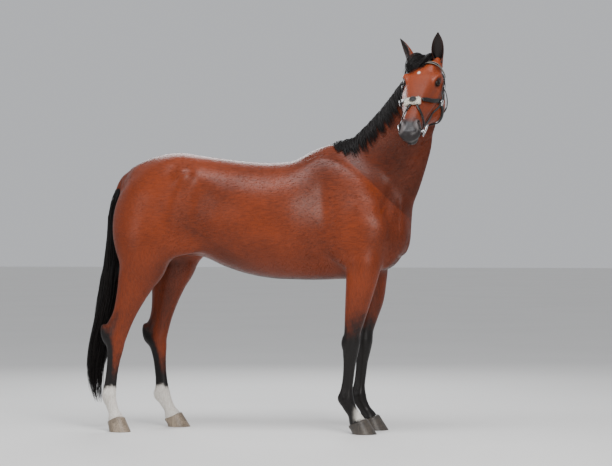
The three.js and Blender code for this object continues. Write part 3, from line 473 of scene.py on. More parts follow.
def surface_net(axes: Sequence[Array], field_: Array) -> tuple[Array, Array]:
    """Meshes the zero level of a grid of distances.

    Args:
        axes: The grid's places along X, Y and Z.
        field_: The distances over the grid.

    Returns:
        The vertices and the quads, facing outwards.
    """
    inside = field_ < 0
    shape = field_.shape
    corners = [(i, j, k) for i in (0, 1) for j in (0, 1) for k in (0, 1)]
    count = sum(inside[tuple(slice(c, n - 1 + c) for c, n in zip(corner, shape))].astype(np.int8)
                for corner in corners)
    active = (count > 0) & (count < 8)
    cells = np.argwhere(active)
    index = np.full(active.shape, -1, np.int64)
    index[active] = np.arange(len(cells))
    total, hits = np.zeros((len(cells), 3)), np.zeros(len(cells))
    for a in corners:
        for axis in range(3):
            if a[axis]:
                continue
            b = tuple(v + (i == axis) for i, v in enumerate(a))
            first = field_[tuple((cells + a).T)].astype(float)
            second = field_[tuple((cells + b).T)].astype(float)
            crossed = (first < 0) != (second < 0)
            t = np.where(crossed, first / np.where(crossed, first - second, 1), 0)
            spot = np.tile(np.array(a, float), (len(cells), 1))
            spot[:, axis] += t
            total += np.where(crossed[:, None], spot, 0)
            hits += crossed
    local = total / hits[:, None]
    low = np.stack([axes[i][cells[:, i]] for i in range(3)], axis=1)
    high = np.stack([axes[i][cells[:, i] + 1] for i in range(3)], axis=1)
    vertices = low + local * (high - low)
    quads = []
    for axis in range(3):
        u, v = (axis + 1) % 3, (axis + 2) % 3
        start = np.moveaxis(inside, axis, 0)[:-1]
        end = np.moveaxis(inside, axis, 0)[1:]
        edge = np.argwhere(start != end)
        starts_inside = start[tuple(edge.T)]
        edge = edge[:, [1, 0, 2] if axis == 1 else ([1, 2, 0] if axis == 2 else [0, 1, 2])]
        keep = (edge[:, u] > 0) & (edge[:, v] > 0)
        keep &= (edge[:, u] < active.shape[u]) & (edge[:, v] < active.shape[v])
        edge, starts_inside = edge[keep], starts_inside[keep]
        around = []
        for du, dv in ((1, 1), (0, 1), (0, 0), (1, 0)):
            cell = edge.copy()
            cell[:, u] -= du
            cell[:, v] -= dv
            around.append(index[tuple(cell.T)])
        quad = np.stack(around, axis=1)
        quad[~starts_inside] = quad[~starts_inside][:, ::-1]
        quads.append(quad)
    return vertices, np.vstack(quads)


# ---- the horse's body --------------------------------------------------------------------


@dataclass
class HeadFrame:
    """The head's own axes: along the face, to its left, and out of the face."""

    poll: Place = (1.009, -0.277, 2.160)
    heading: float = -96.5
    pitch: float = 40.0
    scale: float = 1.04

    def __post_init__(self) -> None:
        """Works out the axes from the heading and the slope of the face."""
        turn, slope = math.radians(self.heading), math.radians(self.pitch)
        self.along = np.array((math.cos(slope) * math.cos(turn),
                               math.cos(slope) * math.sin(turn), -math.sin(slope)))
        self.up = np.array((math.sin(slope) * math.cos(turn),
                            math.sin(slope) * math.sin(turn), math.cos(slope)))
        self.left = np.cross(self.up, self.along)

    def way(self, s: float, l: float, d: float) -> Array:
        """A direction given along the face, to its left and out of it."""
        return self.along * s + self.left * l + self.up * d

    def at(self, s: float, l: float, d: float) -> Array:
        """A place given from the poll, in metres of a head of usual size."""
        return self.poll + self.way(s, l, d) * self.scale

    def measure(self, points: Array) -> Array:
        """The places of points along the face, to its left and out of it."""
        axes = np.stack([self.along, self.left, self.up], axis=1)
        return (points - self.poll) @ axes / self.scale


HEAD = HeadFrame()


@dataclass(frozen=True)
class Foot:
    """Where a foot stands: the middle of its coronet and the way its toe points."""

    place: Place
    toe: float
    scale: float = 1.0

    @property
    def forward(self) -> Array:
        """The way the toe points."""
        turn = math.radians(self.toe)
        return np.array((math.cos(turn), math.sin(turn), 0.0))


@dataclass(frozen=True)
class HindLeg:
    """The joints of a hind leg."""

    thigh: Place
    hock: Place
    fetlock: Place


FEET = {
    (Legs.FORE, Side.RIGHT): Foot((0.606, -0.137, 0.068), 0.0),
    (Legs.FORE, Side.LEFT): Foot((0.642, 0.137, 0.068), 0.0),
    (Legs.HIND, Side.RIGHT): Foot((-0.818, -0.190, 0.068), -35.0, 0.94),
    (Legs.HIND, Side.LEFT): Foot((-0.553, 0.159, 0.066), 8.0, 0.94),
}
HIND_LEGS = {
    Side.RIGHT: HindLeg((-0.668, -0.165, 0.975), (-0.828, -0.155, 0.545),
                        (-0.868, -0.155, 0.200)),
    Side.LEFT: HindLeg((-0.560, 0.165, 0.975), (-0.652, 0.155, 0.535),
                       (-0.615, 0.150, 0.195)),
}
EYE_PLACE = (0.172, 0.080, -0.047)
"""The middle of the left eyeball, in the head's measure."""
EYE_FRONT = (0.182, 0.099, -0.044)
"""The front of the left eye between its lids."""
# the start and end of each nostril's hollow, in the head's measure
NOSTRILS = {Side.RIGHT: ((0.560, -0.056, -0.038), (0.592, -0.060, -0.062)),
            Side.LEFT: ((0.536, 0.056, -0.032), (0.570, 0.062, -0.052))}


class Gaze:
    """Where an eye sits and the axes it looks along."""

    def __init__(self, side: Side) -> None:
        """Works out the axes: out of the eye, along its lids and up.

        Args:
            side: The side of the horse.
        """
        s = side.value
        self.centre = HEAD.at(EYE_PLACE[0], s * EYE_PLACE[1], EYE_PLACE[2])
        self.out = unit(HEAD.way(0.52, s, 0.16))
        wide = HEAD.way(0.88, -0.5 * s, -0.24)
        self.wide = unit(wide - np.dot(wide, self.out) * self.out)
        self.high = np.cross(self.out, self.wide) * s


class Anatomy:
    """Builds the forms of the body, and the finer ones that the skin adds."""

    # x, top, bottom, half width, height of the widest part, squareness
    TRUNK = (
        (-0.805, 1.495, 1.180, 0.110, 1.35, 2.0), (-0.745, 1.560, 1.080, 0.182, 1.335, 2.1),
        (-0.69, 1.590, 1.050, 0.215, 1.33, 2.2), (-0.58, 1.627, 1.030, 0.250, 1.34, 2.2),
        (-0.46, 1.638, 1.030, 0.265, 1.36, 2.2), (-0.34, 1.620, 1.020, 0.262, 1.34, 2.2),
        (-0.20, 1.600, 0.962, 0.275, 1.27, 2.2), (-0.05, 1.583, 0.915, 0.295, 1.24, 2.2),
        (0.10, 1.577, 0.892, 0.300, 1.22, 2.2), (0.22, 1.592, 0.887, 0.290, 1.22, 2.2),
        (0.33, 1.648, 0.885, 0.265, 1.20, 2.0), (0.44, 1.678, 0.888, 0.235, 1.18, 1.9),
        (0.55, 1.650, 0.893, 0.220, 1.17, 1.9), (0.66, 1.560, 0.915, 0.210, 1.17, 2.0),
        (0.76, 1.460, 0.960, 0.185, 1.18, 2.1), (0.84, 1.350, 1.030, 0.135, 1.18, 2.1),
    )
    NECK = (
        ((0.52, 0, 1.30), 0.330, 0.300, 0.150, 2.0, (-0.55, 0, 0.83)),
        ((0.68, 0, 1.45), 0.285, 0.265, 0.125, 2.0, (-0.68, 0, 0.73)),
        ((0.80, -0.035, 1.62), 0.230, 0.215, 0.098, 2.0, (-0.78, 0.05, 0.62)),
        ((0.90, -0.100, 1.79), 0.188, 0.172, 0.084, 2.0, (-0.78, 0.30, 0.55)),
        ((0.968, -0.175, 1.95), 0.150, 0.138, 0.076, 2.1, (-0.60, 0.55, 0.55)),
        ((0.998, -0.240, 2.065), 0.095, 0.115, 0.070, 2.1, (-0.25, 0.75, 0.60)),
    )
    # distance from the poll, centre, rise, drop, half width, squareness
    SKULL = (
        (0.010, -0.095, 0.058, 0.070, 0.058, 2.0), (0.045, -0.090, 0.082, 0.085, 0.088, 2.1),
        (0.095, -0.085, 0.090, 0.080, 0.106, 2.2), (0.150, -0.082, 0.087, 0.075, 0.106, 2.4),
        (0.210, -0.080, 0.080, 0.070, 0.093, 2.5), (0.280, -0.080, 0.073, 0.062, 0.079, 2.5),
        (0.350, -0.080, 0.066, 0.054, 0.066, 2.4), (0.420, -0.080, 0.059, 0.045, 0.057, 2.3),
        (0.480, -0.080, 0.053, 0.040, 0.053, 2.2), (0.540, -0.080, 0.046, 0.036, 0.052, 2.1),
        (0.590, -0.082, 0.038, 0.032, 0.049, 2.0),
    )
    JAW = (
        (0.100, -0.178, 0.070, 0.070, 0.086, 2.0), (0.155, -0.194, 0.070, 0.088, 0.098, 2.1),
        (0.215, -0.192, 0.070, 0.084, 0.095, 2.1), (0.290, -0.176, 0.060, 0.066, 0.078, 2.1),
        (0.370, -0.158, 0.045, 0.049, 0.059, 2.1), (0.450, -0.142, 0.035, 0.037, 0.044, 2.0),
        (0.520, -0.130, 0.028, 0.028, 0.039, 2.0), (0.570, -0.126, 0.022, 0.026, 0.035, 2.0),
    )
    # x, y, z, front, back, side
    FORELEG = (
        (0.665, 0.165, 1.10, 0.085, 0.115, 0.070), (0.645, 0.178, 0.98, 0.100, 0.110, 0.082),
        (0.632, 0.176, 0.89, 0.094, 0.092, 0.078), (0.616, 0.166, 0.77, 0.078, 0.076, 0.064),
        (0.597, 0.157, 0.66, 0.060, 0.062, 0.050), (0.583, 0.150, 0.58, 0.050, 0.052, 0.046),
        (0.577, 0.146, 0.52, 0.052, 0.055, 0.049), (0.573, 0.144, 0.47, 0.046, 0.050, 0.043),
        (0.568, 0.142, 0.41, 0.036, 0.042, 0.032), (0.560, 0.140, 0.33, 0.033, 0.038, 0.027),
        (0.552, 0.138, 0.26, 0.034, 0.041, 0.028), (0.549, 0.137, 0.205, 0.043, 0.050, 0.037),
        (0.565, 0.137, 0.16, 0.037, 0.043, 0.033), (0.588, 0.137, 0.115, 0.036, 0.038, 0.033),
        (0.606, 0.137, 0.080, 0.046, 0.050, 0.046), (0.616, 0.137, 0.058, 0.050, 0.052, 0.050),
    )

    FORE_AHEAD = {Side.RIGHT: -0.010, Side.LEFT: 0.026}

    def __init__(self) -> None:
        """Builds the main tubes and keeps them by region."""
        self.trunk = Sweep([Station((x, 0, widest), top - widest, widest - bottom, half, power)
                            for x, top, bottom, half, widest, power in self.TRUNK],
                           cap=(0.030, 0.055), blend=0.05, level=True)
        self.neck = Sweep([Station(*row) for row in self.NECK], cap=(0.12, 0.05), blend=0.10)
        self.skull = self.head_sweep(self.SKULL, (0.05, 0.034), 0.04)
        self.jaw = self.head_sweep(self.JAW, (0.045, 0.028), 0.022)
        self.legs = {(Legs.FORE, side): self.foreleg(side) for side in Side}
        self.legs.update({(Legs.HIND, side): self.hindleg(side) for side in Side})

    @staticmethod
    def head_sweep(rows: Sequence[tuple], cap: tuple[float, float], blend: float) -> Sweep:
        """A tube of the head from a table of its sections.

        Args:
            rows: Distance from the poll, centre, rise, drop, half width and squareness.
            cap: How far the rounded ends reach.
            blend: Width of the fillet in metres.

        Returns:
            The tube.
        """
        k = HEAD.scale
        return Sweep([Station(tuple(HEAD.at(s, 0, centre)), rise * k, drop * k, half * k, power)
                      for s, centre, rise, drop, half, power in rows],
                     HEAD.up, cap=cap, blend=blend)

    def ahead(self, side: Side, z: float) -> float:
        """How far a foreleg stands ahead at a height."""
        return self.FORE_AHEAD[side] * min(max((0.98 - z) / 0.21, 0.0), 1.0)

    def foreleg(self, side: Side) -> Sweep:
        """The tube of a foreleg.

        Args:
            side: The side of the horse.

        Returns:
            The tube.
        """
        rows = [Station((x + self.ahead(side, z), side.value * y, z), front, back, wide)
                for x, y, z, front, back, wide in self.FORELEG]
        return Sweep(rows, (1, 0, 0), cap=(0.08, 0.012), blend=0.05)

    def hindleg(self, side: Side) -> Sweep:
        """The tube of a hind leg, from the hip to the coronet.

        Args:
            side: The side of the horse.

        Returns:
            The tube.
        """
        leg = HIND_LEGS[side]
        hip = np.array((-0.600, side.value * 0.150, 1.340))
        thigh, hock, fetlock = map(np.array, (leg.thigh, leg.hock, leg.fetlock))
        way = FEET[Legs.HIND, side].forward
        rows = [Station(tuple(hip), 0.170, 0.190, 0.100),
                Station(tuple((hip + thigh) / 2 + (-0.01, side.value * 0.012, 0)),
                        0.165, 0.165, 0.115),
                Station(leg.thigh, 0.145, 0.140, 0.105)]
        for share, front, back, wide in ((0.25, 0.108, 0.112, 0.078), (0.5, 0.080, 0.085, 0.057),
                                         (0.72, 0.065, 0.073, 0.046), (0.9, 0.061, 0.082, 0.044)):
            rows.append(Station(tuple(thigh + (hock - thigh) * share), front, back, wide))
        rows.append(Station(leg.hock, 0.061, 0.076, 0.048))
        for share, front, back, wide in ((0.18, 0.053, 0.053, 0.042), (0.38, 0.042, 0.042, 0.031),
                                         (0.6, 0.036, 0.040, 0.027), (0.8, 0.037, 0.043, 0.028)):
            rows.append(Station(tuple(hock + (fetlock - hock) * share), front, back, wide))
        for ahead, down, front, back, wide in (
                (0, 0, 0.045, 0.052, 0.037), (0.020, 0.047, 0.038, 0.044, 0.033),
                (0.040, 0.090, 0.037, 0.039, 0.033), (0.054, 0.120, 0.046, 0.050, 0.046),
                (0.062, 0.142, 0.048, 0.050, 0.048)):
            rows.append(Station(tuple(fetlock + way * ahead - (0, 0, down)), front, back, wide,
                                2.0, tuple(way)))
        return Sweep(rows, (1, 0, 0), cap=(0.12, 0.012), blend=0.07)

    def trunk_muscles(self, side: Side) -> list[Form]:
        """The large muscles of the shoulder and croup on one side.

        Args:
            side: The side of the horse.

        Returns:
            The forms.
        """
        s = side.value
        return [
            Spindle((0.36, s * 0.13, 1.58), (0.74, s * 0.185, 1.17), 0.115, 0.055, blend=0.07),
            Spindle((0.44, s * 0.185, 1.36), (0.60, s * 0.205, 0.98), 0.125, 0.055, blend=0.06),
            Spindle((0.60, s * 0.185, 1.30), (0.74, s * 0.175, 1.06), 0.100, 0.065, blend=0.05),
            Spindle((0.80, s * 0.075, 1.28), (0.72, s * 0.090, 0.95), 0.075, 0.100,
                    (1, 0, 0), 0.05),
            Spindle((-0.36, s * 0.12, 1.53), (-0.72, s * 0.14, 1.24), 0.150, 0.090,
                    (0, 1, 0.3), 0.08),
            Spindle((-0.385, s * 0.20, 1.53), (-0.42, s * 0.235, 1.45), 0.035, 0.035, blend=0.07),
        ]

    def hind_muscles(self, side: Side) -> list[Form]:
        """The heel of the hock and the muscles of the thigh on one side.

        Args:
            side: The side of the horse.

        Returns:
            The forms.
        """
        s, leg = side.value, HIND_LEGS[side]
        hock = np.array(leg.hock)
        return [
            Spindle(hock + (-0.062, 0, -0.030), hock + (-0.080, 0, 0.085), 0.022, 0.024,
                    (1, 0, 0), 0.03),
            Spindle((-0.40, s * 0.205, 1.46), (leg.thigh[0] + 0.11, s * 0.215, 1.00),
                    0.085, 0.055, blend=0.07),
            Spindle((-0.775, s * 0.10, 1.38), (leg.thigh[0] - 0.075, s * 0.165, 1.00),
                    0.095, 0.075, blend=0.07),
        ]

    def head_muscles(self) -> list[Form]:
        """The chin, lip, cheeks, orbits and nostril wings.

        Returns:
            The forms.
        """
        k, at, way = HEAD.scale, HEAD.at, HEAD.way
        forms = [
            Spindle(at(0.530, 0, -0.140), at(0.600, 0, -0.130), 0.033 * k, 0.027 * k,
                    HEAD.up, 0.014),
            Spindle(at(0.535, 0, -0.082), at(0.634, 0, -0.088), 0.050 * k, 0.037 * k,
                    HEAD.up, 0.020),
        ]
        for side in Side:
            s = side.value
            forms += [
                Spindle(at(0.090, s * 0.070, -0.196), at(0.300, s * 0.066, -0.158),
                        0.092 * k, 0.042 * k, way(0, 1, 0), 0.03),
                Spindle(at(0.106, s * 0.092, -0.028), at(0.214, s * 0.084, -0.038),
                        0.024 * k, 0.024 * k, way(0, 0.75, 0.65), 0.022),
                Spindle(at(0.190, s * 0.078, -0.100), at(0.460, s * 0.044, -0.096),
                        0.024 * k, 0.020 * k, way(0, 1, 0), 0.04),
                Spindle(at(0.515, s * 0.036, -0.038), at(0.604, s * 0.046, -0.076),
                        0.029 * k, 0.022 * k, way(0, 1, 0), 0.02),
                Spindle(at(0.020, s * 0.050, -0.022), at(0.120, s * 0.054, -0.030),
                        0.034 * k, 0.034 * k, way(0, 0.7, 0.7), 0.03),
            ]
        return forms

    def folds(self) -> list[Form]:
        """The finer forms of the skin on the trunk and legs.

        Returns:
            The forms.
        """
        forms: list[Form] = []
        for side in Side:
            s, leg, a = side.value, HIND_LEGS[side], self.FORE_AHEAD[side]
            hock, fetlock = np.array(leg.hock), np.array(leg.fetlock)
            forms += [
                # hollow of the flank and groove of the neck
                Spindle((-0.30, s * 0.318, 1.46), (-0.37, s * 0.312, 1.22), 0.060, 0.040,
                        blend=0.09, cut=True),
                Spindle((0.78, s * 0.165, 1.33), (0.97, s * 0.09 - 0.06, 1.66), 0.020, 0.032,
                        (0.3, s, 0), 0.06, cut=True),
                # groove behind the shoulder blade and fold of the stifle
                Spindle((0.40, s * 0.255, 1.52), (0.45, s * 0.305, 1.14), 0.022, 0.022,
                        blend=0.06, cut=True),
                Spindle((-0.47, s * 0.190, 1.06), (-0.30, s * 0.165, 1.10), 0.034, 0.030,
                        blend=0.09),
                # tendon grooves of the cannons
                Spindle((0.547 + a, s * 0.176, 0.44), (0.536 + a, s * 0.168, 0.25), 0.007, 0.010,
                        blend=0.016, cut=True),
                Spindle((0.547 + a, s * 0.108, 0.44), (0.536 + a, s * 0.108, 0.25), 0.007, 0.010,
                        blend=0.016, cut=True),
                # bone at the back of the knee and the tufts of the fetlocks
                Spindle((0.535 + a, s * 0.150, 0.56), (0.530 + a, s * 0.150, 0.50), 0.018, 0.012,
                        (1, 0, 0), 0.025),
                Spindle((0.505 + a, s * 0.137, 0.225), (0.512 + a, s * 0.137, 0.180), 0.016, 0.012,
                        (1, 0, 0), 0.02),
                Spindle(fetlock - FEET[Legs.HIND, side].forward * 0.048 + (0, 0, 0.02),
                        fetlock - FEET[Legs.HIND, side].forward * 0.040 - (0, 0, 0.03),
                        0.016, 0.012, (1, 0, 0), 0.02),
            ]
            for inner in (-1, 1):
                start = hock + (fetlock - hock) * 0.3 + (-0.016, inner * 0.034, 0)
                end = hock + (fetlock - hock) * 0.85 + (-0.014, inner * 0.031, 0)
                forms.append(Spindle(start, end, 0.007, 0.010, blend=0.016, cut=True))
        return forms

    def features(self) -> list[Form]:
        """The nostrils, mouth, temples, sockets, lids and roots of the ears.

        Returns:
            The forms.
        """
        k, at, way = HEAD.scale, HEAD.at, HEAD.way
        forms: list[Form] = [
            Spindle(at(0.520, 0, -0.112), at(0.672, 0, -0.110), 0.074, 0.0022, HEAD.up,
                    0.005, cut=True),
        ]
        for side in Side:
            s = side.value
            gaze = Gaze(side)
            eye = gaze.centre
            forms += [
                Spindle(at(*NOSTRILS[side][0]), at(*NOSTRILS[side][1]),
                        0.0115, 0.040, way(0.45, s, 0.25), 0.006, cut=True),
                Spindle(at(0.075, s * 0.090, -0.004), at(0.116, s * 0.094, -0.010),
                        0.013, 0.014, way(0, 0.6 * s, 0.8), 0.028, cut=True),
                Spindle(at(0.290, s * 0.088, -0.142), at(0.430, s * 0.066, -0.124),
                        0.022, 0.012, way(0, s, 0), 0.03, cut=True),
                Spindle(at(0.205, s * 0.094, -0.088), at(0.360, s * 0.068, -0.086),
                        0.011, 0.011, way(0, s, 0), 0.022),
                Spindle(eye + gaze.out * 0.025 - gaze.wide * 0.036,
                        eye + gaze.out * 0.025 + gaze.wide * 0.036, 0.027, 0.016, gaze.out,
                        0.014, cut=True),
                Spindle(eye - gaze.wide * 0.0275, eye + gaze.wide * 0.0275, 0.0275, 0.0275,
                        gaze.out, 0.008),
            ]
            base = at(*np.array(Ear.BASES[side]))
            rise = unit(Ear.TIPS[side])
            forms.append(Spindle(base - rise * 0.050, base + rise * 0.034, 0.0255 * k, 0.0245 * k,
                                 HEAD.along, 0.034))
        return forms

    def lids(self) -> list[Form]:
        """The openings between the lids.

        Returns:
            The forms.
        """
        forms: list[Form] = []
        for side in Side:
            gaze = Gaze(side)
            middle = gaze.centre + gaze.out * 0.0245 - gaze.high * 0.001
            forms.append(Spindle(middle - gaze.wide * 0.0205, middle + gaze.wide * 0.0205,
                                 0.0120, 0.020, gaze.out, 0.003, cut=True))
        return forms

    def body(self) -> list[Form]:
        """The forms that the solids have as well.

        Returns:
            The forms, in the order in which they are blended.
        """
        forms: list[Form] = [self.trunk]
        for side in (Side.RIGHT, Side.LEFT):
            forms += self.trunk_muscles(side)
        forms.append(self.neck)
        forms += [self.legs[Legs.FORE, Side.RIGHT], self.legs[Legs.FORE, Side.LEFT]]
        for side in (Side.RIGHT, Side.LEFT):
            forms += [self.legs[Legs.HIND, side], *self.hind_muscles(side)]
        return [*forms, self.skull, self.jaw, *self.head_muscles()]

    def dock(self) -> Sweep:
        """The root of the tail.

        Returns:
            The tube.
        """
        return Sweep([Station((-0.745, 0, 1.515), 0.036, 0.040, 0.044),
                      Station((-0.812, 0, 1.474), 0.030, 0.034, 0.034),
                      Station((-0.850, 0, 1.400), 0.026, 0.026, 0.028),
                      Station((-0.866, 0, 1.290), 0.020, 0.020, 0.022)],
                     (-0.3, 0, 1), cap=(0.03, 0.03), blend=0.035)


class Region(Enum):
    """A stretch of the coat, each with its own piece of tufts."""

    HEAD = 0
    NECK = 1
    TRUNK_RIGHT = 2
    TRUNK_LEFT = 3
    FORELEGS = 4
    HINDLEGS = 5


@dataclass
class Coat:
    """Says for each place of the skin how its coat lies, how it is marked and where shade is
    painted on it.
    """

    SOCK_TOP = {Side.RIGHT: 0.262, Side.LEFT: 0.250}
    anatomy: Anatomy
    hind: float = -0.35
    """The X behind which the hind legs stand."""
    hind_top: float = 1.06
    fore: float = 0.45
    """The X before which the forelegs stand."""
    fore_top: float = 0.98
    star: tuple[float, float] = (0.146, -0.012)
    star_reach: tuple[float, float] = (0.013, 0.0085)
    eye_rim: tuple[float, float] = (0.031, 0.019)
    nostril_rim: tuple[float, float] = (0.019, 0.012)
    # how much lighter the whole head is made
    face_tone: float = 1.22
    # how far the painted shadow of the head darkens the right of the neck
    neck_shade: float = 0.40
    # how far the painted shade below the flank's ridge darkens it
    flank_shade: float = 0.22
    body_length: float = 0.017
    body_thick: float = 0.60
    leg_length: float = 0.011
    face_length: float = 0.0065

    def regions(self, points: Array) -> Array:
        """The region of each point, by the number of its Region.

        Args:
            points: Places in metres.

        Returns:
            The numbers.
        """
        head = HEAD.measure(points)
        on_head = (0.778 * head[:, 0] + 0.629 * head[:, 2] > -0.032) & (points[:, 2] > 1.5)
        on_head &= points[:, 1] < -0.10
        on_neck = points @ np.array((0.6925, 0, 0.7215)) > 1.520
        region = np.where(points[:, 1] < 0, Region.TRUNK_RIGHT.value, Region.TRUNK_LEFT.value)
        before = (points[:, 0] > self.fore) & (points[:, 2] < self.fore_top)
        region[before] = Region.FORELEGS.value
        behind = (points[:, 0] < self.hind) & (points[:, 2] < self.hind_top)
        region[behind] = Region.HINDLEGS.value
        region[on_neck] = Region.NECK.value
        region[on_head & on_neck] = Region.HEAD.value
        return region

    def lie(self, points: Array, regions: Array) -> Array:
        """The way the hair lies at each point, before it is laid on the surface.

        Args:
            points: Places in metres.
            regions: The number of each point's region.

        Returns:
            The ways, of length one.
        """
        ways = np.tile((-1.0, 0.0, -0.42), (len(points), 1))
        low = ease(points[:, 2], 1.15, 0.95)[:, None]
        ways = ways * (1 - low) + np.array((-0.25, 0.0, -1.0)) * low
        chest = ease(points[:, 0], 0.62, 0.80)[:, None]
        ways = ways * (1 - chest) + np.array((-0.2, 0.0, -1.0)) * chest
        legs = np.isin(regions, (Region.FORELEGS.value, Region.HINDLEGS.value))
        ways[legs] = (-0.12, 0.0, -1.0)
        neck = regions == Region.NECK.value
        ways[neck] = (-0.75, 0.12, -0.62)
        head = HEAD.measure(points)
        face = HEAD.along + 0.30 * np.clip((0.14 - head[:, :1]) / 0.14, 0, 1) * -HEAD.along
        cheek = ease(head[:, 2], -0.06, -0.16)[:, None]
        face = face * (1 - cheek) + (HEAD.along * 0.3 - HEAD.up * 0.6 - HEAD.along * 0.5) * cheek
        on_head = regions == Region.HEAD.value
        ways[on_head] = face[on_head]
        return unit(ways)

    def black(self, points: Array) -> Array:
        """How black the coat is, from 0 to 1: the lower legs, crest and ears.

        Args:
            points: Places in metres.

        Returns:
            The shares.
        """
        x, y, z = points.T
        streaks = 0.045 * ripple(points * (1, 1, 0.35), 9.0, 3) + 0.02 * ripple(points, 30.0, 4)
        black = np.zeros(len(points))
        fore = (x > self.fore) & (z < 1.0)
        black[fore] = ease(z + streaks, 0.74, 0.57)[fore]
        for side in Side:
            mine = (x < self.hind) & (z < 1.1) & (np.sign(y) == side.value)
            if not mine.any():
                continue
            spots = points[mine]
            at = self.anatomy.legs[Legs.HIND, side].unwrap(spots)
            back = 0.5 - 0.5 * np.cos((at[:, 1] - 0.5) * 2 * math.pi)
            edge = 0.38 + 0.24 * ease(back, 0.30, 0.90)
            black[mine] = ease(spots[:, 2] + streaks[mine], edge + 0.09, edge - 0.05)
        crest = self.anatomy.neck.unwrap(points)
        above = (np.abs(crest[:, 1] - 0.5) < 0.045) & (z > 1.66) & (x > 0.55)
        black[above & (y > -0.36)] = 0.8
        return np.clip(black, 0, 1)

    def white(self, points: Array) -> Array:
        """How white the coat is: the hind pasterns, star and a patch on one forefoot.

        Args:
            points: Places in metres.

        Returns:
            The shares.
        """
        x, y, z = points.T
        edge = 0.012 * ripple(points, 14.0, 5) + 0.006 * ripple(points, 60.0, 6)
        white = np.zeros(len(points))
        for side, top in self.SOCK_TOP.items():
            mine = (x < self.hind) & (np.sign(y) == side.value)
            white[mine] = ease(z + edge, top + 0.006, top - 0.016)[mine]
        patch = (x > self.fore) & (y < 0)
        front = np.clip((x - 0.575) * 30, 0, 1)
        band = ease(z + edge, 0.165, 0.145) * ease(z + edge, 0.070, 0.090)
        white[patch] = np.maximum(white, front * band)[patch]
        head = HEAD.measure(points)
        spot = np.linalg.norm((head[:, :2] - self.star) / self.star_reach, axis=1) + edge * 16
        near = np.abs(head[:, 0] - self.star[0]) < 0.08
        on_brow = near & (head[:, 2] > -0.05) & (z > 1.7)
        return np.maximum(white, 0.7 * ease(spot, 1.3, 0.5) * on_brow)

    def grey(self, points: Array, regions: Array) -> tuple[Array, Array]:
        """How grey and how pale the bare skin of the muzzle is, each from 0 to 1.

        Args:
            points: Places in metres.
            regions: The number of each point's region.

        Returns:
            The shares of grey and of pale skin.
        """
        head = HEAD.measure(points)
        mottle = 0.012 * ripple(points, 16.0, 7)
        on_head = regions == Region.HEAD.value
        muzzle = ease(head[:, 0] - 0.25 * np.clip(-0.05 - head[:, 2], 0, 0.1) + mottle, 0.47, 0.555)
        pale = np.zeros(len(points))
        for side in Side:
            centre = np.mean(NOSTRILS[side], axis=0)
            away = np.linalg.norm((head - centre) * (0.8, 0.8, 0.8), axis=1)
            pale = np.maximum(pale, 0.16 * ease(away, 0.036, 0.026) * ease(away, 0.012, 0.022))
        rim = ease(np.abs(head[:, 2] + 0.111), 0.020, 0.006) * ease(head[:, 0], 0.53, 0.58)
        pale = np.maximum(pale, 0.14 * rim)
        return muzzle * on_head, np.clip(pale, 0, 1) * on_head

    def shade(self, points: Array, regions: Array) -> Array:
        """A factor of painted shade in folds and hollows, a painted shadow on the neck, darker eye
        rims and a lighter head.

        Args:
            points: Places in metres.
            regions: The number of each point's region.

        Returns:
            The factors.
        """
        x, y, z = points.T
        head = HEAD.measure(points)
        on_head = regions == Region.HEAD.value
        shade = 1.0 + 0.05 * ripple(points, 1.1, 8) + 0.03 * ripple(points, 5.0, 9)
        for side in Side:
            away = self.from_eye(head, side, 0.72)
            shade *= 1 - 0.88 * ease(away, *self.eye_rim) * on_head
            # painted shade inside the nostril hollows
            first, last = np.array(NOSTRILS[side])
            share = np.clip((head - first) @ (last - first) / ((last - first) ** 2).sum(), 0, 1)
            away = np.linalg.norm(head - first - share[:, None] * (last - first), axis=1)
            shade *= 1 - 0.97 * ease(away, *self.nostril_rim) * on_head
        # a thin darker line along the top of the back
        top = ease(z, 1.56, 1.63) * ease(np.abs(y), 0.05, 0.01)
        shade *= 1 - 0.45 * top * (x < 0.5)
        # painted shade between the legs and under the belly
        inner = ease(np.abs(y), 0.13, 0.06) * ease(z, 1.1, 0.95)
        shade *= 1 - 0.45 * inner * (z > 0.3)
        # painted shade on the trunk below the ridge of the flank
        on_trunk = np.isin(regions, (Region.TRUNK_RIGHT.value, Region.TRUNK_LEFT.value))
        ridge = 1.24 - 0.62 * np.clip(x + 0.40, 0, 0.55)
        below = ease(z - ridge, 0.0, -0.03) * ease(z - ridge, -0.17, -0.05)
        reach = ease(x, -0.46, -0.34) * ease(x, 0.16, -0.10)
        shade *= 1 - self.flank_shade * on_trunk * below * reach
        # painted shadow of the head on the right side of the neck
        on_neck = regions == Region.NECK.value
        shade *= 1 - self.neck_shade * on_neck * ease(y, 0.02, -0.06)
        # the whole head made lighter
        return shade * np.where(on_head, self.face_tone, 1.0)

    @staticmethod
    def from_eye(head: Array, side: Side, narrow: float) -> Array:
        """How far places on the head are from an eye, `narrow` scaling the length."""
        centre = np.array(EYE_FRONT) * (1, side.value, 1)
        return np.linalg.norm((head - centre) * (narrow, 1, 1), axis=1)

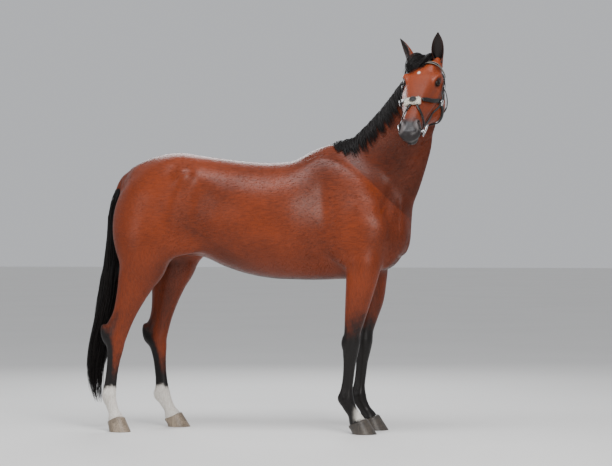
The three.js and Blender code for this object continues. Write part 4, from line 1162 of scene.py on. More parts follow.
    def length(self, points: Array, regions: Array) -> tuple[Array, Array]:
        """The length of the tufts in metres, and how thick they stand, from 0 to 1.

        Args:
            points: Places in metres.
            regions: The number of each point's region.

        Returns:
            The lengths and the shares.
        """
        head = HEAD.measure(points)
        x, _, z = points.T
        legs = np.isin(regions, (Region.FORELEGS.value, Region.HINDLEGS.value))
        length = np.full(len(points), self.body_length)
        thick = np.full(len(points), self.body_thick)
        flank = np.exp(-((x + 0.33) ** 2 + (z - 1.18) ** 2) / 0.02)
        elbow = np.exp(-((x - 0.47) ** 2 + (z - 1.02) ** 2) / 0.012)
        chest = ease(x, 0.72, 0.84)
        belly = ease(z, 1.0, 0.93)
        stand = np.clip(flank + elbow + chest + belly, 0, 1)
        length += 0.007 * stand
        thick += 0.45 * stand
        fetlock = ease(z, 0.29, 0.24) * ease(z, 0.13, 0.18) * legs
        legs_length = self.leg_length + 0.012 * fetlock + 0.004 * ease(z, 0.6, 0.9)
        length = np.where(legs, legs_length, length)
        thick = np.where(legs, 0.8 + 0.2 * fetlock, thick)
        on_head = regions == Region.HEAD.value
        face = (self.face_length + 0.006 * ease(head[:, 2], -0.12, -0.20)
                + 0.003 * ease(head[:, 0], 0.1, 0))
        length = np.where(on_head, face * (1 - 0.5 * ease(head[:, 0], 0.48, 0.56)), length)
        bare = ease(head[:, 0], 0.53, 0.57)
        for side in Side:
            bare = np.maximum(bare, ease(self.from_eye(head, side, 0.75), 0.034, 0.024))
        thick = np.where(on_head, 0.9 * (1 - bare), thick)
        return length, thick

    def unwrap(self, points: Array, regions: Array) -> Array:
        """A flat map of each region, unrolled from its own tube.

        Args:
            points: Places in metres.
            regions: The number of each point's region.

        Returns:
            The places on the map.
        """
        flat = np.zeros((len(points), 2))
        tubes = {Region.HEAD: [self.anatomy.skull], Region.NECK: [self.anatomy.neck],
                 Region.TRUNK_RIGHT: [self.anatomy.trunk], Region.TRUNK_LEFT: [self.anatomy.trunk],
                 Region.FORELEGS: [self.anatomy.legs[Legs.FORE, side] for side in Side],
                 Region.HINDLEGS: [self.anatomy.legs[Legs.HIND, side] for side in Side]}
        for region, sweeps in tubes.items():
            for n, sweep in enumerate(sweeps):
                mine = regions == region.value
                if len(sweeps) == 2:
                    mine &= (points[:, 1] < 0) == (n == 0)
                if not mine.any():
                    continue
                share = sweep.unwrap(points[mine])
                share[:, 0] = 0.02 + 0.96 * share[:, 0]
                share[:, 1] = (n + 0.02 + 0.96 * share[:, 1]) / len(sweeps)
                flat[mine] = share
        return flat


# ---- making meshes -----------------------------------------------------------------------


def new_object(name: str, vertices: Array, faces: Any = (), edges: Any = (),
               moved: bool = True) -> bpy.types.Object:
    """Makes a mesh object and stands it in the frame.

    Args:
        name: The name of the object.
        vertices: Places in metres, before the model is moved to its stand.
        faces: Corner numbers of each face.
        edges: Corner numbers of each loose edge.
        moved: Whether the places still need the move to the stand.

    Returns:
        The linked object, smooth shaded.
    """
    mesh = bpy.data.meshes.new(name)
    places = np.asarray(vertices, float) + (STAND if moved else 0)
    mesh.from_pydata(places.tolist(), [tuple(e) for e in np.asarray(edges).tolist()],
                     [tuple(f) for f in (faces.tolist() if isinstance(faces, Array) else faces)])
    if len(mesh.polygons):
        mesh.polygons.foreach_set("use_smooth", [True] * len(mesh.polygons))
    mesh.update()
    made = bpy.data.objects.new(name, mesh)
    bpy.context.scene.collection.objects.link(made)
    return made


def give(made: bpy.types.Object, name: str, values: Array, kind: str = "FLOAT") -> None:
    """Stores values on the points of a mesh.

    Args:
        made: The object.
        name: The attribute's name.
        values: One value or vector for each point.
        kind: The attribute's type.
    """
    layer = made.data.attributes.new(name, kind, "POINT")
    key = "value" if kind == "FLOAT" else "vector"
    layer.data.foreach_set(key, np.asarray(values, np.float32).ravel())


def drop(made: bpy.types.Object, names: Iterable[str]) -> None:
    """Removes helper attributes from a mesh.

    Args:
        made: The object.
        names: Their names.
    """
    for name in names:
        if name in made.data.attributes:
            made.data.attributes.remove(made.data.attributes[name])


def joined(parts: Iterable[tuple[Array, list]]) -> tuple[Array, list]:
    """Joins several sets of vertices and faces into one.

    Args:
        parts: The vertices and faces of each.

    Returns:
        All the vertices and faces.
    """
    vertices, faces, start = [], [], 0
    for spots, corners in parts:
        vertices.append(np.asarray(spots, float))
        faces += [tuple(int(c) + start for c in face) for face in corners]
        start += len(spots)
    return np.vstack(vertices), faces


def loft(rings: Array, closed: bool = False, caps: bool = True) -> tuple[Array, list]:
    """Skins rings of the same count.

    Args:
        rings: Places by ring and point.
        closed: Joins the last ring to the first.
        caps: Closes the two ends.

    Returns:
        The vertices and faces.
    """
    count, sides = rings.shape[:2]
    faces = []
    for i in range(count if closed else count - 1):
        a, b = i * sides, (i + 1) % count * sides
        for j in range(sides):
            k = (j + 1) % sides
            faces.append((a + j, a + k, b + k, b + j))
    if caps and not closed:
        last = (count - 1) * sides
        faces.append(tuple(reversed(range(sides))))
        faces.append(tuple(range(last, last + sides)))
    return rings.reshape(-1, 3), faces


def tube(path: Array, radius: Any, sides: int = 10, closed: bool = False,
         flat: float = 1.0, up: Any = None) -> tuple[Array, list]:
    """A round rod along a path.

    Args:
        path: Places along its middle.
        radius: Its radius, one for all or one for each place.
        sides: How many faces go round it.
        closed: Joins its end to its start.
        flat: The share of its radius that it keeps across `up`.
        up: A direction that the rod's sides keep to.

    Returns:
        The vertices and faces.
    """
    path = np.asarray(path, float)
    ahead = unit(np.roll(path, -1, 0) - np.roll(path, 1, 0)) if closed else unit(
        np.gradient(path, axis=0))
    guide = np.asarray((0.31, 0.12, 0.94) if up is None else up, float)
    first = unit(guide - (ahead @ guide)[:, None] * ahead)
    second = np.cross(ahead, first)
    turn = around(sides)
    reach = np.broadcast_to(np.asarray(radius, float), len(path))[:, None, None]
    rings = path[:, None] + reach * (np.cos(turn)[None, :, None] * first[:, None] * flat
                                     + np.sin(turn)[None, :, None] * second[:, None])
    return loft(rings, closed)


def capsule(start: Array, end: Array, radius: float, sides: int = 10) -> tuple[Array, list]:
    """A rod with rounded ends from one place to another.

    Args:
        start: One end.
        end: The other end.
        radius: The radius in metres.
        sides: How many faces go round it.

    Returns:
        The vertices and faces.
    """
    share = np.array((0.0, 0.03, 0.10, 0.25, 0.5, 0.75, 0.90, 0.97, 1.0))
    swell = np.array((0.25, 0.66, 0.92, 1.0, 1.0, 1.0, 0.92, 0.66, 0.25))
    return tube(start + (np.asarray(end) - start) * share[:, None], radius * swell, sides)


def outward(made: bpy.types.Object) -> None:
    """Turns all faces of a closed mesh outwards.

    Args:
        made: The object.
    """
    mesh = bmesh.new()
    mesh.from_mesh(made.data)
    bmesh.ops.recalc_face_normals(mesh, faces=mesh.faces)
    mesh.to_mesh(made.data)
    mesh.free()


# ---- node trees --------------------------------------------------------------------------


class Graph:
    """A node tree while it is being built."""

    def __init__(self, tree: bpy.types.NodeTree) -> None:
        """Empties the tree."""
        self.tree = tree
        tree.nodes.clear()

    def add(self, kind: str, inputs: dict[Any, Any] | None = None,
            **settings: Any) -> bpy.types.Node:
        """Adds a node.

        Args:
            kind: The node's type.
            inputs: A socket or value for each named or numbered input.
            settings: Properties of the node.

        Returns:
            The node.
        """
        node = self.tree.nodes.new(kind)
        for name, value in settings.items():
            setattr(node, name, value)
        for key, value in (inputs or {}).items():
            if isinstance(value, bpy.types.NodeSocket):
                self.tree.links.new(value, node.inputs[key])
            else:
                node.inputs[key].default_value = value
        return node

    def math(self, operation: str, first: Any, second: Any = 0.0) -> bpy.types.NodeSocket:
        """Works out a number from two."""
        return self.add("ShaderNodeMath", {0: first, 1: second}, operation=operation).outputs[0]

    def vector(self, operation: str, first: Any, second: Any = (0, 0, 0)) -> Any:
        """Works out a vector from two."""
        return self.add("ShaderNodeVectorMath", {0: first, 1: second},
                        operation=operation).outputs[0]

    def triple(self, x: Any = 0.0, y: Any = 0.0, z: Any = 0.0) -> Any:
        """Makes a vector of three numbers."""
        return self.add("ShaderNodeCombineXYZ", {0: x, 1: y, 2: z}).outputs[0]

    def mix(self, share: Any, first: Any, second: Any, blend: str = "MIX") -> Any:
        """Mixes two colours."""
        return self.add("ShaderNodeMix", {0: share, 6: first, 7: second}, data_type="RGBA",
                        blend_type=blend).outputs[2]

    def value(self, name: str) -> Any:
        """Reads a number that the mesh carries."""
        return self.add("ShaderNodeAttribute", attribute_name=name).outputs["Fac"]

    def noise(self, place: Any, scale: float, detail: float = 3.0, rough: float = 0.5) -> Any:
        """A soft noise over places."""
        return self.add("ShaderNodeTexNoise", {"Vector": place, "Scale": scale, "Detail": detail,
                                               "Roughness": rough}).outputs[0]

    def ramp(self, share: Any, low: float, high: float) -> Any:
        """Grades a number from 0 at `low` to 1 at `high`."""
        return self.add("ShaderNodeMapRange", {0: share, 1: low, 2: high},
                        interpolation_type="SMOOTHSTEP").outputs[0]

    def stretched(self, scale: Place) -> Any:
        """The object's own coordinates, stretched."""
        place = self.add("ShaderNodeTexCoord").outputs["Object"]
        return self.add("ShaderNodeMapping", {"Vector": place, "Scale": scale}).outputs[0]


def color(red: float, green: float, blue: float) -> tuple[float, float, float, float]:
    """A linear colour with full cover."""
    return (red, green, blue, 1.0)


@dataclass(frozen=True)
class Finish:
    """A material: the base of every finish."""

    name: str
    roughness: float = 0.5
    specular: float = 0.5
    metallic: float = 0.0
    sheen: float = 0.0
    gloss: float = 0.0
    gloss_roughness: float = 0.1
    bump: float = 0.0

    def build(self) -> bpy.types.Material:
        """Makes the material from this finish.

        Returns:
            The material.
        """
        material = bpy.data.materials.new(self.name)
        material.use_nodes = True
        graph = Graph(material.node_tree)
        shader = graph.add("ShaderNodeBsdfPrincipled", {
            "Roughness": self.roughness, "Specular IOR Level": self.specular,
            "Metallic": self.metallic, "Sheen Weight": self.sheen, "Sheen Roughness": 0.45,
            "Coat Weight": self.gloss, "Coat Roughness": self.gloss_roughness})
        tone, height = self.paint(graph)
        graph.tree.links.new(tone, shader.inputs["Base Color"])
        if self.bump and height is not None:
            raised = graph.add("ShaderNodeBump", {"Strength": self.bump, "Distance": 0.002,
                                                  "Height": height})
            graph.tree.links.new(raised.outputs[0], shader.inputs["Normal"])
        rough = self.wear(graph)
        if rough is not None:
            graph.tree.links.new(rough, shader.inputs["Roughness"])
        output = graph.add("ShaderNodeOutputMaterial")
        graph.tree.links.new(shader.outputs[0], output.inputs[0])
        return material

    def paint(self, graph: Graph) -> tuple[Any, Any]:
        """The colour and height of the surface, as sockets."""
        raise NotImplementedError

    def wear(self, graph: Graph) -> Any:
        """The roughness where it changes over the surface, or None."""
        return None


@dataclass(frozen=True)
class CoatFinish(Finish):
    """Short hair with the markings and painted shade that the mesh carries."""

    bright: tuple = color(0.210, 0.033, 0.0062)
    deep: tuple = color(0.074, 0.0125, 0.0034)
    black: tuple = color(0.0062, 0.0046, 0.0042)
    grey: tuple = color(0.016, 0.0135, 0.0138)
    pale: tuple = color(0.36, 0.31, 0.30)
    white: tuple = color(0.74, 0.71, 0.66)
    tufted: bool = False
    spread: float = 0.12
    """How far single tufts are darkened."""
    lift: float = 1.22
    # Painted light that makes up for the shade between the tufts.
    """Makes up for the dark between the tufts."""

    def paint(self, graph: Graph) -> tuple[Any, Any]:
        """Mixes the tones of the hair by the marks.

        Args:
            graph: The material's tree.

        Returns:
            The sockets of the colour and the height.
        """
        along = graph.noise(graph.stretched((22.0, 190.0, 150.0)), 1.0, 4.0, 0.6)
        down = graph.noise(graph.stretched((190.0, 190.0, 24.0)), 1.0, 4.0, 0.6)
        drop_share = graph.value("drop")
        strands = graph.add("ShaderNodeMix", {0: drop_share, 2: along, 3: down}).outputs[0]
        patch = graph.noise(graph.stretched((2.2, 2.2, 3.0)), 1.0, 2.0)
        share = graph.math("ADD", graph.math("MULTIPLY", patch, 0.85),
                           graph.math("MULTIPLY", strands, 0.75))
        tone = graph.mix(graph.ramp(share, 0.45, 1.1), self.deep, self.bright)
        if self.tufted:
            spread = graph.math("MULTIPLY", graph.value("tone"), self.spread)
            tone = graph.mix(spread, tone, self.deep)
        marked = graph.mix(graph.value("black"), tone, self.black)
        marked = graph.mix(graph.value("grey"), marked, self.grey)
        marked = graph.mix(graph.value("pale"), marked, self.pale)
        white = graph.mix(graph.ramp(strands, 0.2, 0.8), self.white, color(0.55, 0.50, 0.44))
        marked = graph.mix(graph.value("white"), marked, white)
        # multiplies in the painted shade and other tone factors that the mesh carries
        shade = graph.value("shade")
        marked = graph.vector("MULTIPLY", marked, graph.triple(shade, shade, shade))
        if self.tufted:
            marked = graph.vector("MULTIPLY", marked, (self.lift,) * 3)
        return marked, strands


@dataclass(frozen=True)
class HairFinish(Finish):
    """Long hair, lighter in some locks and towards its sunned tips."""

    root: tuple = color(0.0032, 0.0027, 0.0027)
    tip: tuple = color(0.0085, 0.0062, 0.0055)

    def paint(self, graph: Graph) -> tuple[Any, Any]:
        """Mixes the tones by lock and by length.

        Args:
            graph: The material's tree.

        Returns:
            The sockets of the colour and the height.
        """
        fine = graph.noise(graph.stretched((240.0, 240.0, 26.0)), 1.0, 3.0)
        share = graph.math("ADD", graph.math("MULTIPLY", graph.value("tone"), 0.6),
                           graph.math("MULTIPLY", graph.value("along"), 0.4))
        return graph.mix(share, self.root, self.tip), fine


@dataclass(frozen=True)
class HornFinish(Finish):
    """The horn of a hoof, ringed and finely lined."""

    dark: tuple = color(0.030, 0.025, 0.022)
    light: tuple = color(0.085, 0.068, 0.052)

    def paint(self, graph: Graph) -> tuple[Any, Any]:
        """Lines down the wall and rings round it.

        Args:
            graph: The material's tree.

        Returns:
            The sockets of the colour and the height.
        """
        lines = graph.noise(graph.stretched((260.0, 260.0, 12.0)), 1.0, 3.0)
        rings = graph.noise(graph.stretched((3.0, 3.0, 130.0)), 1.0, 2.0)
        dirt = graph.noise(graph.stretched((14.0, 14.0, 14.0)), 1.0, 4.0)
        tone = graph.mix(graph.ramp(graph.math("MULTIPLY", lines, dirt), 0.12, 0.42),
                         self.dark, self.light)
        return tone, graph.math("ADD", rings, graph.math("MULTIPLY", lines, 0.3))


@dataclass(frozen=True)
class LeatherFinish(Finish):
    """Polished leather with a fine grain and rubbed patches."""

    tone: tuple = color(0.0045, 0.0038, 0.0038)
    rubbed: tuple = color(0.012, 0.009, 0.0075)

    def paint(self, graph: Graph) -> tuple[Any, Any]:
        """Darker and lighter leather over a pebbled grain.

        Args:
            graph: The material's tree.

        Returns:
            The sockets of the colour and the height.
        """
        place = graph.add("ShaderNodeTexCoord").outputs["Object"]
        grain = graph.add("ShaderNodeTexVoronoi", {"Vector": place, "Scale": 900.0}).outputs[0]
        patch = graph.noise(place, 24.0, 4.0)
        return graph.mix(graph.ramp(patch, 0.45, 0.8), self.tone, self.rubbed), grain

    def wear(self, graph: Graph) -> Any:
        """Duller where it is handled.

        Args:
            graph: The material's tree.

        Returns:
            The roughness's socket.
        """
        place = graph.add("ShaderNodeTexCoord").outputs["Object"]
        return graph.add("ShaderNodeMapRange", {0: graph.noise(place, 40.0), 3: 0.22,
                                                4: 0.46}).outputs[0]


@dataclass(frozen=True)
class PlainFinish(Finish):
    """A surface of two close tones, mottled at one scale."""

    tone: tuple = color(0.7, 0.7, 0.7)
    other: tuple = color(0.6, 0.6, 0.6)
    scale: float = 60.0

    def paint(self, graph: Graph) -> tuple[Any, Any]:
        """Mottles the two tones.

        Args:
            graph: The material's tree.

        Returns:
            The sockets of the colour and the height.
        """
        place = graph.add("ShaderNodeTexCoord").outputs["Object"]
        mottle = graph.noise(place, self.scale, 4.0)
        return graph.mix(graph.ramp(mottle, 0.35, 0.7), self.tone, self.other), mottle


@dataclass(frozen=True)
class EyeFinish(Finish):
    """A wet dark eye: a long pupil in a brown iris, darker at its rim."""

    iris: tuple = color(0.020, 0.009, 0.0045)
    pupil: tuple = color(0.0015, 0.0018, 0.0025)
    rim: tuple = color(0.0045, 0.0035, 0.003)

    def paint(self, graph: Graph) -> tuple[Any, Any]:
        """Rings of colour round the pupil.

        Args:
            graph: The material's tree.

        Returns:
            The socket of the colour, and no height.
        """
        spot = graph.add("ShaderNodeAttribute", attribute_name="gaze").outputs["Vector"]
        parts = graph.add("ShaderNodeSeparateXYZ", {0: spot}).outputs
        x, y = parts[0], parts[1]
        wide = graph.math("MULTIPLY", x, 2.3)
        high = graph.math("MULTIPLY", y, 4.6)
        pupil = graph.math("ADD", graph.math("MULTIPLY", wide, wide),
                           graph.math("MULTIPLY", high, high))
        disc = graph.math("ADD", graph.math("MULTIPLY", x, x), graph.math("MULTIPLY", y, y))
        threads = graph.noise(spot, 14.0, 4.0)
        iris = graph.mix(graph.ramp(threads, 0.3, 0.8), self.iris, self.rim)
        iris = graph.mix(graph.ramp(disc, 0.30, 0.52), iris, self.rim)
        return graph.mix(graph.ramp(pupil, 1.1, 0.8), iris, self.pupil), None


class Finishes:
    """Every finish of the horse, made once."""

    def __init__(self) -> None:
        """Builds the materials."""
        made = {
            "skin": CoatFinish("coat_skin", 0.38, 0.28, bump=0.22),
            "tufts": CoatFinish("coat_tufts", 0.38, 0.28, tufted=True),
            "hair": HairFinish("long_hair", 0.40, 0.16, bump=0.3),
            "hoof_dark": HornFinish("hoof_horn_dark", 0.42, bump=0.5),
            "hoof_pale": HornFinish("hoof_horn_pale", 0.42, bump=0.5,
                                    dark=color(0.12, 0.088, 0.06), light=color(0.33, 0.26, 0.19)),
            "leather": LeatherFinish("bridle_leather", 0.3, 0.3, gloss=0.10, gloss_roughness=0.22,
                                     bump=0.10),
            "piping": PlainFinish("browband_piping", 0.45, tone=color(0.36, 0.33, 0.28),
                                  other=color(0.25, 0.22, 0.18), scale=300.0, bump=0.2),
            "thread": PlainFinish("bridle_thread", 0.7, tone=color(0.055, 0.045, 0.038),
                                  other=color(0.025, 0.02, 0.018), scale=500.0, bump=0.2),
            "fleece": PlainFinish("nose_pad_fleece", 0.95, sheen=0.5, tone=color(0.80, 0.76, 0.67),
                                  other=color(0.62, 0.57, 0.48), scale=160.0, bump=0.8),
            "steel": PlainFinish("bridle_steel", 0.18, metallic=1.0, tone=color(0.72, 0.72, 0.73),
                                 other=color(0.60, 0.60, 0.61), scale=90.0, bump=0.05),
            "eye": EyeFinish("eye", 0.05, 0.22, gloss=0.06, gloss_roughness=0.02),
            "floor": PlainFinish("floor", 0.75, 0.25, tone=color(0.80, 0.79, 0.77),
                                 other=color(0.78, 0.77, 0.75), scale=0.6),
        }
        self.materials = {name: finish.build() for name, finish in made.items()}

    def __getitem__(self, name: str) -> bpy.types.Material:
        """The material of that name."""
        return self.materials[name]


# ---- Geometry Nodes ----------------------------------------------------------------------


class GrowthTree:
    """A Geometry Nodes tree with named inputs, run once on a mesh."""

    INPUTS: tuple[tuple[str, str, Any], ...] = ()
    NAME = "growth"

    def __init__(self) -> None:
        """Builds the tree."""
        self.tree = bpy.data.node_groups.new(self.NAME, "GeometryNodeTree")
        self.graph = Graph(self.tree)
        self.tree.interface.new_socket("Geometry", in_out="INPUT",
                                       socket_type="NodeSocketGeometry")
        self.sockets = {}
        for name, kind, value in self.INPUTS:
            socket = self.tree.interface.new_socket(name, in_out="INPUT",
                                                    socket_type=f"NodeSocket{kind}")
            if value is not None:
                socket.default_value = value
            self.sockets[name] = socket.identifier
        self.tree.interface.new_socket("Geometry", in_out="OUTPUT",
                                       socket_type="NodeSocketGeometry")
        self.start = self.graph.add("NodeGroupInput").outputs
        grown = self.grow()
        real = self.graph.add("GeometryNodeRealizeInstances", {0: grown}).outputs[0]
        real = self.mapped(real)
        done = self.graph.add("GeometryNodeSetMaterial", {
            "Geometry": real, "Material": self.start["Material"]}).outputs[0]
        self.graph.add("NodeGroupOutput", {0: done})

    def grow(self) -> Any:
        """Builds what the tree makes, and returns its socket."""
        raise NotImplementedError

    def mapped(self, geometry: Any) -> Any:
        """Gives what was made its flat map, where it has one."""
        return geometry

    def on_map(self, geometry: Any, spot: Any) -> Any:
        """Maps each instance to a small patch at its root's place on the skin's own map.

        Args:
            geometry: The geometry's socket.
            spot: The place within the patch.

        Returns:
            The socket of the mapped geometry.
        """
        patch = self.graph.add("ShaderNodeVectorMath", {0: spot, 3: self.start["Patch"]},
                               operation="SCALE").outputs[0]
        flat = self.graph.vector("ADD", self.named("flat", "FLOAT_VECTOR"), patch)
        return self.store(geometry, "OFBake", flat, "FLOAT2", "CORNER")

    def named(self, name: str, kind: str = "FLOAT") -> Any:
        """Reads an attribute of the geometry."""
        node = self.graph.add("GeometryNodeInputNamedAttribute", {"Name": name}, data_type=kind)
        return node.outputs["Attribute"]

    def store(self, geometry: Any, name: str, value: Any, kind: str = "FLOAT",
              domain: str = "POINT") -> Any:
        """Stores an attribute on the geometry.

        Args:
            geometry: The geometry's socket.
            name: The attribute's name.
            value: The value's socket.
            kind: The value's type.
            domain: What the value is stored on.

        Returns:
            The socket of the geometry with the value.
        """
        return self.graph.add("GeometryNodeStoreNamedAttribute", {
            "Geometry": geometry, "Name": name, "Value": value},
            data_type=kind, domain=domain).outputs[0]

    def run(self, host: bpy.types.Object, name: str, values: dict[str, Any]) -> bpy.types.Object:
        """Runs the tree on an object and takes the result as a plain mesh.

        Args:
            host: The object that the tree starts from. It is removed.
            name: The name of the new object.
            values: The values of the tree's inputs.

        Returns:
            The new object.
        """
        modifier = host.modifiers.new(self.NAME, "NODES")
        modifier.node_group = self.tree
        for key, value in values.items():
            modifier[self.sockets[key]] = value
        bpy.context.view_layer.update()
        grown = host.evaluated_get(bpy.context.evaluated_depsgraph_get())
        mesh = bpy.data.meshes.new_from_object(grown)
        host.modifiers.remove(modifier)
        old = host.data
        bpy.data.objects.remove(host)
        bpy.data.meshes.remove(old)
        mesh.name = name
        made = bpy.data.objects.new(name, mesh)
        bpy.context.scene.collection.objects.link(made)
        return made


class TuftTree(GrowthTree):
    """Short tufts laid over a surface along the lie of its coat."""

    NAME = "coat_tufts"
    INPUTS = (("Density", "Float", 1000.0), ("Width", "Float", 0.0042),
              ("Thickness", "Float", 0.0016), ("Tilt", "Float", 0.1), ("Turn", "Float", 0.2),
              ("Patch", "Float", 0.003), ("Seed", "Int", 1), ("Material", "Material", None))

    def grow(self) -> Any:
        """Scatters roots and sets a tuft on each.

        Returns:
            The socket of the tufts.
        """
        graph, start = self.graph, self.start
        density = graph.math("MULTIPLY", start["Density"], self.named("thick"))
        scattered = graph.add("GeometryNodeDistributePointsOnFaces", {
            "Mesh": start["Geometry"], "Density": density, "Seed": start["Seed"]},
            distribute_method="RANDOM").outputs
        upright = graph.add("FunctionNodeAlignRotationToVector", {
            "Vector": scattered["Normal"]}, axis="Z").outputs[0]
        laid = graph.add("FunctionNodeAlignRotationToVector", {
            "Rotation": upright, "Vector": self.named("lie", "FLOAT_VECTOR")},
            axis="X", pivot_axis="Z").outputs[0]
        turn = self.random(graph.math("MULTIPLY", start["Turn"], -1.0), start["Turn"], 11)
        tilt = self.random(graph.math("MULTIPLY", start["Tilt"], -1.6),
                           graph.math("MULTIPLY", start["Tilt"], 0.2), 12)
        swing = graph.triple(0.0, tilt, turn)
        twist = graph.add("FunctionNodeEulerToRotation", {0: swing}).outputs[0]
        turned = graph.add("FunctionNodeRotateRotation", {0: laid, 1: twist},
                           rotation_space="LOCAL").outputs[0]
        length = graph.math("MULTIPLY", self.named("length"), self.random(0.7, 1.25, 13))
        girth = self.random(0.75, 1.2, 14)
        scale = graph.triple(length, graph.math("MULTIPLY", girth, start["Width"]),
                             graph.math("MULTIPLY", girth, start["Thickness"]))
        points = self.store(scattered["Points"], "tone", self.random(0.0, 1.0, 15))
        return graph.add("GeometryNodeInstanceOnPoints", {
            "Points": points, "Instance": self.tuft(), "Rotation": turned,
            "Scale": scale}).outputs[0]

    def random(self, low: Any, high: Any, seed: int) -> Any:
        """A number between two for each root.

        Args:
            low: The lowest value.
            high: The highest value.
            seed: Sets the draw.

        Returns:
            The number's socket.
        """
        node = self.graph.add("FunctionNodeRandomValue", data_type="FLOAT")
        wanted = {"Min": low, "Max": high, "Seed": seed}
        for socket in node.inputs:
            if socket.enabled and socket.name in wanted:
                value = wanted[socket.name]
                if isinstance(value, bpy.types.NodeSocket):
                    self.graph.tree.links.new(value, socket)
                else:
                    socket.default_value = value
        return next(o for o in node.outputs if o.enabled)

    def tuft(self) -> Any:
        """One tuft of length one along X: three-sided, pointed and arched.

        Returns:
            The tuft's socket.
        """
        graph = self.graph
        cone = graph.add("GeometryNodeMeshCone", {
            "Vertices": 3, "Side Segments": 2, "Fill Segments": 1, "Radius Top": 0.0,
            "Radius Bottom": 0.6, "Depth": 1.0}, fill_type="NGON").outputs[0]
        lying = graph.add("GeometryNodeTransform", {
            "Geometry": cone, "Rotation": (math.pi / 2, 0.0, math.pi / 2)}).outputs[0]
        place = graph.add("GeometryNodeInputPosition").outputs[0]
        x = graph.add("ShaderNodeSeparateXYZ", {0: place}).outputs[0]
        arch = graph.math("MULTIPLY", graph.math("SINE", graph.math("MULTIPLY", x, 2.6)), 0.30)
        lift = graph.triple(0.0, 0.0, arch)
        bent = graph.add("GeometryNodeSetPosition", {
            "Geometry": lying, "Offset": lift}).outputs[0]
        smooth = graph.add("GeometryNodeSetShadeSmooth", {0: bent}).outputs[0]
        return self.store(smooth, "spot", graph.vector("MULTIPLY", place, (1, 0.5, 0)),
                          "FLOAT_VECTOR")

    def mapped(self, geometry: Any) -> Any:
        """Maps each tuft to a small patch at its root's place on the skin's own map."""
        spot = self.graph.vector("MULTIPLY", self.named("spot", "FLOAT_VECTOR"), (1, 1, 0))
        return self.on_map(geometry, spot)


class LockTree(GrowthTree):
    """Locks of long hair along paths."""

    NAME = "hair_locks"
    INPUTS = (("Sides", "Int", 5), ("Flatness", "Float", 0.5), ("Patch", "Float", 0.003),
              ("Material", "Material", None))

    def grow(self) -> Any:
        """Sweeps a flattened round along each path.

        Returns:
            The socket of the locks.
        """
        graph, start = self.graph, self.start
        curve = graph.add("GeometryNodeMeshToCurve", {0: start["Geometry"]}).outputs[0]
        curve = graph.add("GeometryNodeSetCurveRadius", {
            "Curve": curve, "Radius": self.named("radius")}).outputs[0]
        ring = graph.add("GeometryNodeCurvePrimitiveCircle", {
            "Resolution": start["Sides"], "Radius": 1.0}).outputs[0]
        scale = graph.triple(1.0, start["Flatness"], 1.0)
        ring = graph.add("GeometryNodeTransform", {"Geometry": ring, "Scale": scale}).outputs[0]
        turn = graph.math("DIVIDE", graph.add("GeometryNodeInputIndex").outputs[0],
                          start["Sides"])
        ring = self.store(ring, "around", turn)
        inputs = {"Curve": curve, "Profile Curve": ring, "Fill Caps": True}
        node = graph.add("GeometryNodeCurveToMesh", inputs)
        if "Scale" in node.inputs:
            graph.tree.links.new(self.named("radius"), node.inputs["Scale"])
        return graph.add("GeometryNodeSetShadeSmooth", {0: node.outputs[0]}).outputs[0]

    def mapped(self, geometry: Any) -> Any:
        """Maps each lock to a small patch at its root's place on the skin's own map."""
        spot = self.graph.triple(self.named("along"), self.named("around"))
        return self.on_map(geometry, spot)


class StitchTree(GrowthTree):
    """Short stitches set along paths."""

    NAME = "bridle_stitches"
    INPUTS = (("Pitch", "Float", 0.0042), ("Length", "Float", 0.0030),
              ("Radius", "Float", 0.00045), ("Material", "Material", None))

    def grow(self) -> Any:
        """Sets a small rod on each step of each path.

        Returns:
            The socket of the stitches.
        """
        graph, start = self.graph, self.start
        curve = graph.add("GeometryNodeMeshToCurve", {0: start["Geometry"]}).outputs[0]
        points = graph.add("GeometryNodeCurveToPoints", {
            "Curve": curve, "Length": start["Pitch"]}, mode="LENGTH").outputs
        laid = graph.add("FunctionNodeAlignRotationToVector", {
            "Vector": points["Tangent"]}, axis="Z").outputs[0]
        rod = graph.add("GeometryNodeMeshCylinder", {
            "Vertices": 6, "Side Segments": 2, "Fill Segments": 1, "Radius": start["Radius"],
            "Depth": start["Length"]}, fill_type="NGON").outputs[0]
        place = graph.add("GeometryNodeInputPosition").outputs[0]
        z = graph.add("ShaderNodeSeparateXYZ", {0: place}).outputs[2]
        share = graph.math("DIVIDE", z, start["Length"])
        squeeze = graph.math("SUBTRACT", 1.0, graph.math("MULTIPLY",
                                                         graph.math("MULTIPLY", share, share), 2.4))
        shaped = graph.vector("MULTIPLY", place, graph.triple(squeeze, squeeze, 1.0))
        rod = graph.add("GeometryNodeSetPosition", {"Geometry": rod, "Position": shaped}).outputs[0]
        return graph.add("GeometryNodeInstanceOnPoints", {
            "Points": points["Points"], "Instance": rod, "Rotation": laid}).outputs[0]


# ---- skin --------------------------------------------------------------------------------


